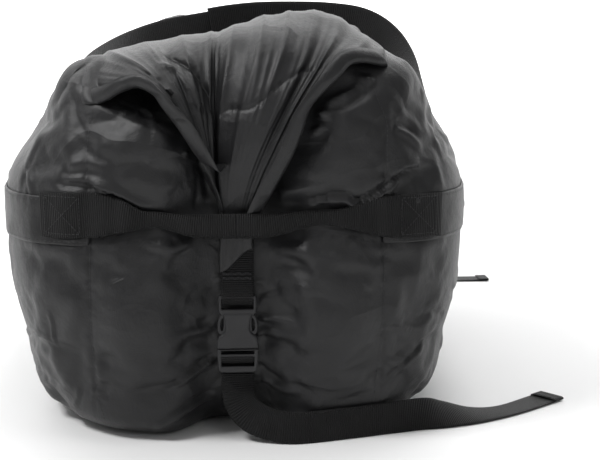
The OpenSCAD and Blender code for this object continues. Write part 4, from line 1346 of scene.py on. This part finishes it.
# ---- Carry strap: sewn on the left side, over the top, and down the right side to the ladder lock ----
# x and height of the arch in mm, and its roll in degrees: 0 lies flat along Y, 90 stands on its edge
CARRY_ARCH = [(-230, 234, 0), (-229, 247, 0), (-223, 263, 3), (-213, 282, 6), (-200, 301, 8), (-183, 320, 12),
              (-160, 337, 20), (-131, 350, 34), (-98, 358, 56), (-60, 366, 76), (-20, 375, 88), (20, 380, 92),
              (60, 381, 91), (100, 380, 86), (138, 375, 74), (167, 361, 56), (188, 339, 38), (202, 314, 20),
              (212, 290, 10), (222, 267, 3), (229, 249, 0), (230, 234, 0)]
CARRY_Y = -0.050


def side_point(side, z, lift):
    """Point just outside the skin or band on one side, where the carry strap runs."""
    outmost = 0
    for y in (CARRY_Y - 0.018, CARRY_Y - 0.009, CARRY_Y, CARRY_Y + 0.009, CARRY_Y + 0.018):
        place, _ = SKIN.hit((side * 0.4, y, z), (-side, 0, 0))
        outmost = max(outmost, abs(place[0]) if place is not None else 0)
    return [side * (outmost + lift), CARRY_Y, z]


def arch_rows():
    rows = curve(np.array(CARRY_ARCH, float), 6)
    path = np.stack([rows[:, 0] / 1000, np.full(len(rows), CARRY_Y), rows[:, 1] / 1000], 1)
    along = unit(np.gradient(path, axis=0))
    roll = np.radians(rows[:, 2])[:, None]
    side = np.array([0, 1.0, 0]) * np.cos(roll) + np.cross(along, [0, 1.0, 0]) * np.sin(roll)
    return path, side


def left_half(path, side, kink):
    """From the sewn end to the kink, where the strap is folded over itself: this half ends behind."""
    low = [side_point(-1, z, 0.0042) for z in (0.187, 0.196, 0.205, 0.214, 0.222)]
    path = np.vstack([low, path[1:kink + 1]])
    side = np.vstack([np.tile([0, 1.0, 0], (len(low), 1)), side[1:kink + 1]])
    fold = smooth((path[:, 0] + 0.075) / 0.055)
    path[:, 1] += 0.0030 * fold
    path[:, 2] -= 0.0035 * fold
    return path, side


def right_half(path, side, kink):
    down = [side_point(1, z, 0.0042) for z in (0.222, 0.205, 0.190, 0.175, 0.160, 0.148)]
    path = np.vstack([path[kink - 1:-1], down])
    side = np.vstack([side[kink - 1:-1], np.tile([0, 1.0, 0], (len(down), 1))])
    path[:, 1] -= 0.0016 * smooth((0.03 - path[:, 0]) / 0.05)
    return path, side


def add_carry_strap():
    path, side = arch_rows()
    # On the left it lies in its dent
    path[:, 0] += 0.0065 * smooth((-path[:, 0] - 0.150) / 0.04)
    kink = int(np.argmin(np.abs(path[:, 0] + 0.020)))
    halves = []
    for hand, half, x, nodes in (("left", left_half, -0.23, ["carry_strap", "carry_end"]),
                                 ("right", right_half, 0.23, ["carry_run"])):
        obj, _ = strap(f"carry_strap_{hand}", *half(path, side, kink), HANDLE_W, HANDLE_T, None, 0.0025)
        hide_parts(*nodes)
        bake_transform(obj)
        halves.append(obj)
    left = Surface(halves[0])
    rows = boxed_cross((CARRY_Y - 0.015, 0.190), (CARRY_Y + 0.015, 0.220), 12,
                       lambda y, z: left.hit((-0.4, y, z), (1, 0, 0))[0])
    thread = stitches("carry_strap_stitching", [(row, np.tile([-1.0, 0, 0], (len(row), 1))) for row in rows])
    fit(thread, "root", "thread", "carry_stitching")


add_carry_strap()


# ---- Ladder lock on the right side ----
LOCK_X, LOCK_Z = 0.2285, 0.121
LOCK_WEB = {"width": HANDLE_W - 0.001, "thickness": 0.0016}


def round_bar(radius, rise, degrees):
    """Points round one of the lock's bars, rise above its lower one."""
    return [(LOCK_X + radius * math.cos(a), CARRY_Y, LOCK_Z + rise + radius * math.sin(a))
            for a in np.radians(degrees)]


def add_ladder():
    x, y, z = LOCK_X, CARRY_Y, LOCK_Z

    def place(p):
        return np.stack([x + p[:, 2], y + p[:, 0], z + p[:, 1]], 1)

    slots = [rounded(-21, 21, 1.9, 8.4, 0.9), rounded(-21, 21, 11.5, 15.3, 0.9)]
    lock = plate(rounded(-25, 25, -2.2, 19.2, 2.2), slots, 0.0048, 0.0012, place)
    lock.name = "ladder_lock_moulding"
    fit(lock, "ladder", "buckle_plastic", "ladder_lock")
    path = [(x - 0.0032, y, z + 0.0232), (x - 0.0030, y, z + 0.016)]
    path += round_bar(0.0030, 0.010, [170, 200, 235, 270, 305, 340])
    path += [(x + 0.0040, y, z + 0.016), (x + 0.0052, y, z + 0.027)]
    fit(laid_strap("lock_strap_end", path, [0, 1.0, 0], **LOCK_WEB), "ladder", "webbing", "lock_webbing")
    path = [side_point(1, h, 0.0014) for h in (0.084, 0.092, 0.100, 0.108)]
    path += round_bar(0.0034, 0.0, [200, 165, 130, 90, 50, 10, -30, -70, -100])
    fit(laid_strap("lock_loop", path, [0, 1.0, 0], **LOCK_WEB), "root", "webbing", "lock_stub")
    lines = []
    for h in (0.0905, 0.0965):
        out = side_point(1, h, 0.0024)[0]
        row = np.array([(out, b, h + 0.0004 * math.sin(b * 2000))
                        for b in np.linspace(y - 0.015, y + 0.015, 30)])
        for wave in (-0.0006, 0.0006):
            lines.append((row + [0, 0, wave], np.tile([1.0, 0, 0], (30, 1))))
    fit(stitches("lock_loop_tack", lines, 0.0016, 0.0014, 0.0003), "root", "thread", "stub_bartack")


add_ladder()


# ---- Thread of the upright end seams ----
SEAMS = [[(-122, 18), (-127, 40), (-130, 80), (-131, 130), (-130, 184)],
         [(122, 18), (126, 40), (128, 70), (131, 120), (132, 184)],
         [(-130, 236), (-131, 262), (-128, 290), (-124, 304)],
         [(134, 236), (133, 262), (133, 290), (126, 308), (121, 324)]]


def add_seams(end):
    lines = []
    for seam in SEAMS:
        row = face_path(seam, end, 24, SKIN)
        out = np.tile([0, -1.0 if end == "front" else 1.0, 0], (len(row), 1))
        lines.append((row + out * 0.0001, out))
    thread = stitches(f"{end}_seam_thread", lines, 0.0042, 0.0026, 0.00024)
    fit(thread, "root", "thread", f"{end}_seam_stitching")


for end in ENDS:
    add_seams(end)


# ---- Light, floor and backdrop ----
def area_light(name, place, aim, size, power):
    data = bpy.data.lights.new(name, "AREA")
    data.shape = "RECTANGLE"
    data.size, data.size_y = size
    data.energy = power
    light = bpy.data.objects.new(name, data)
    bpy.context.scene.collection.objects.link(light)
    light.location = place
    light.rotation_euler = (Vector(aim) - Vector(place)).to_track_quat("-Z", "Y").to_euler()


def add_stage():
    size, far = 14.0, 3.2
    white = Shader("floor_white", (0.86, 0.86, 0.86), 0.65)
    white.tint(white.noise(3, 2), 0.2, (0.85,) * 3, 0.8, (0.87,) * 3)
    floor = add_mesh("floor", [(-size, -size, 0), (size, -size, 0), (size, size, 0), (-size, size, 0)],
                     [(0, 1, 2, 3)], white.mat)
    wall = Shader("wall_white", (0.9, 0.9, 0.9), 0.8)
    wall.inputs["Emission Color"].default_value = (1, 1, 1, 1)
    wall.inputs["Emission Strength"].default_value = 0.9
    backdrop = add_mesh("backdrop", [(-size, far, -0.1), (size, far, -0.1), (size, far, 5), (-size, far, 5)],
                        [(0, 1, 2, 3)], wall.mat)
    area_light("key", (-1.3, -0.9, 1.9), (0, -0.1, 0.2), (0.7, 0.5), 36)
    area_light("top", (0.3, -0.2, 2.4), (0, -0.1, 0.1), (1.4, 0.6), 18)
    area_light("front", (0.9, -2.6, 1.3), (0, 0, 0.2), (0.8, 0.5), 5)
    area_light("far", (0, 1.9, 2.6), (0, 1.6, 0), (5.0, 1.6), 60)
    world = bpy.data.worlds.new("world")
    bpy.context.scene.world = world
    world.use_nodes = True
    background = world.node_tree.nodes["Background"]
    background.inputs["Color"].default_value = (1, 1, 1, 1)
    background.inputs["Strength"].default_value = 0.30
    bpy.context.scene.view_settings.view_transform = "Standard"


add_stage()
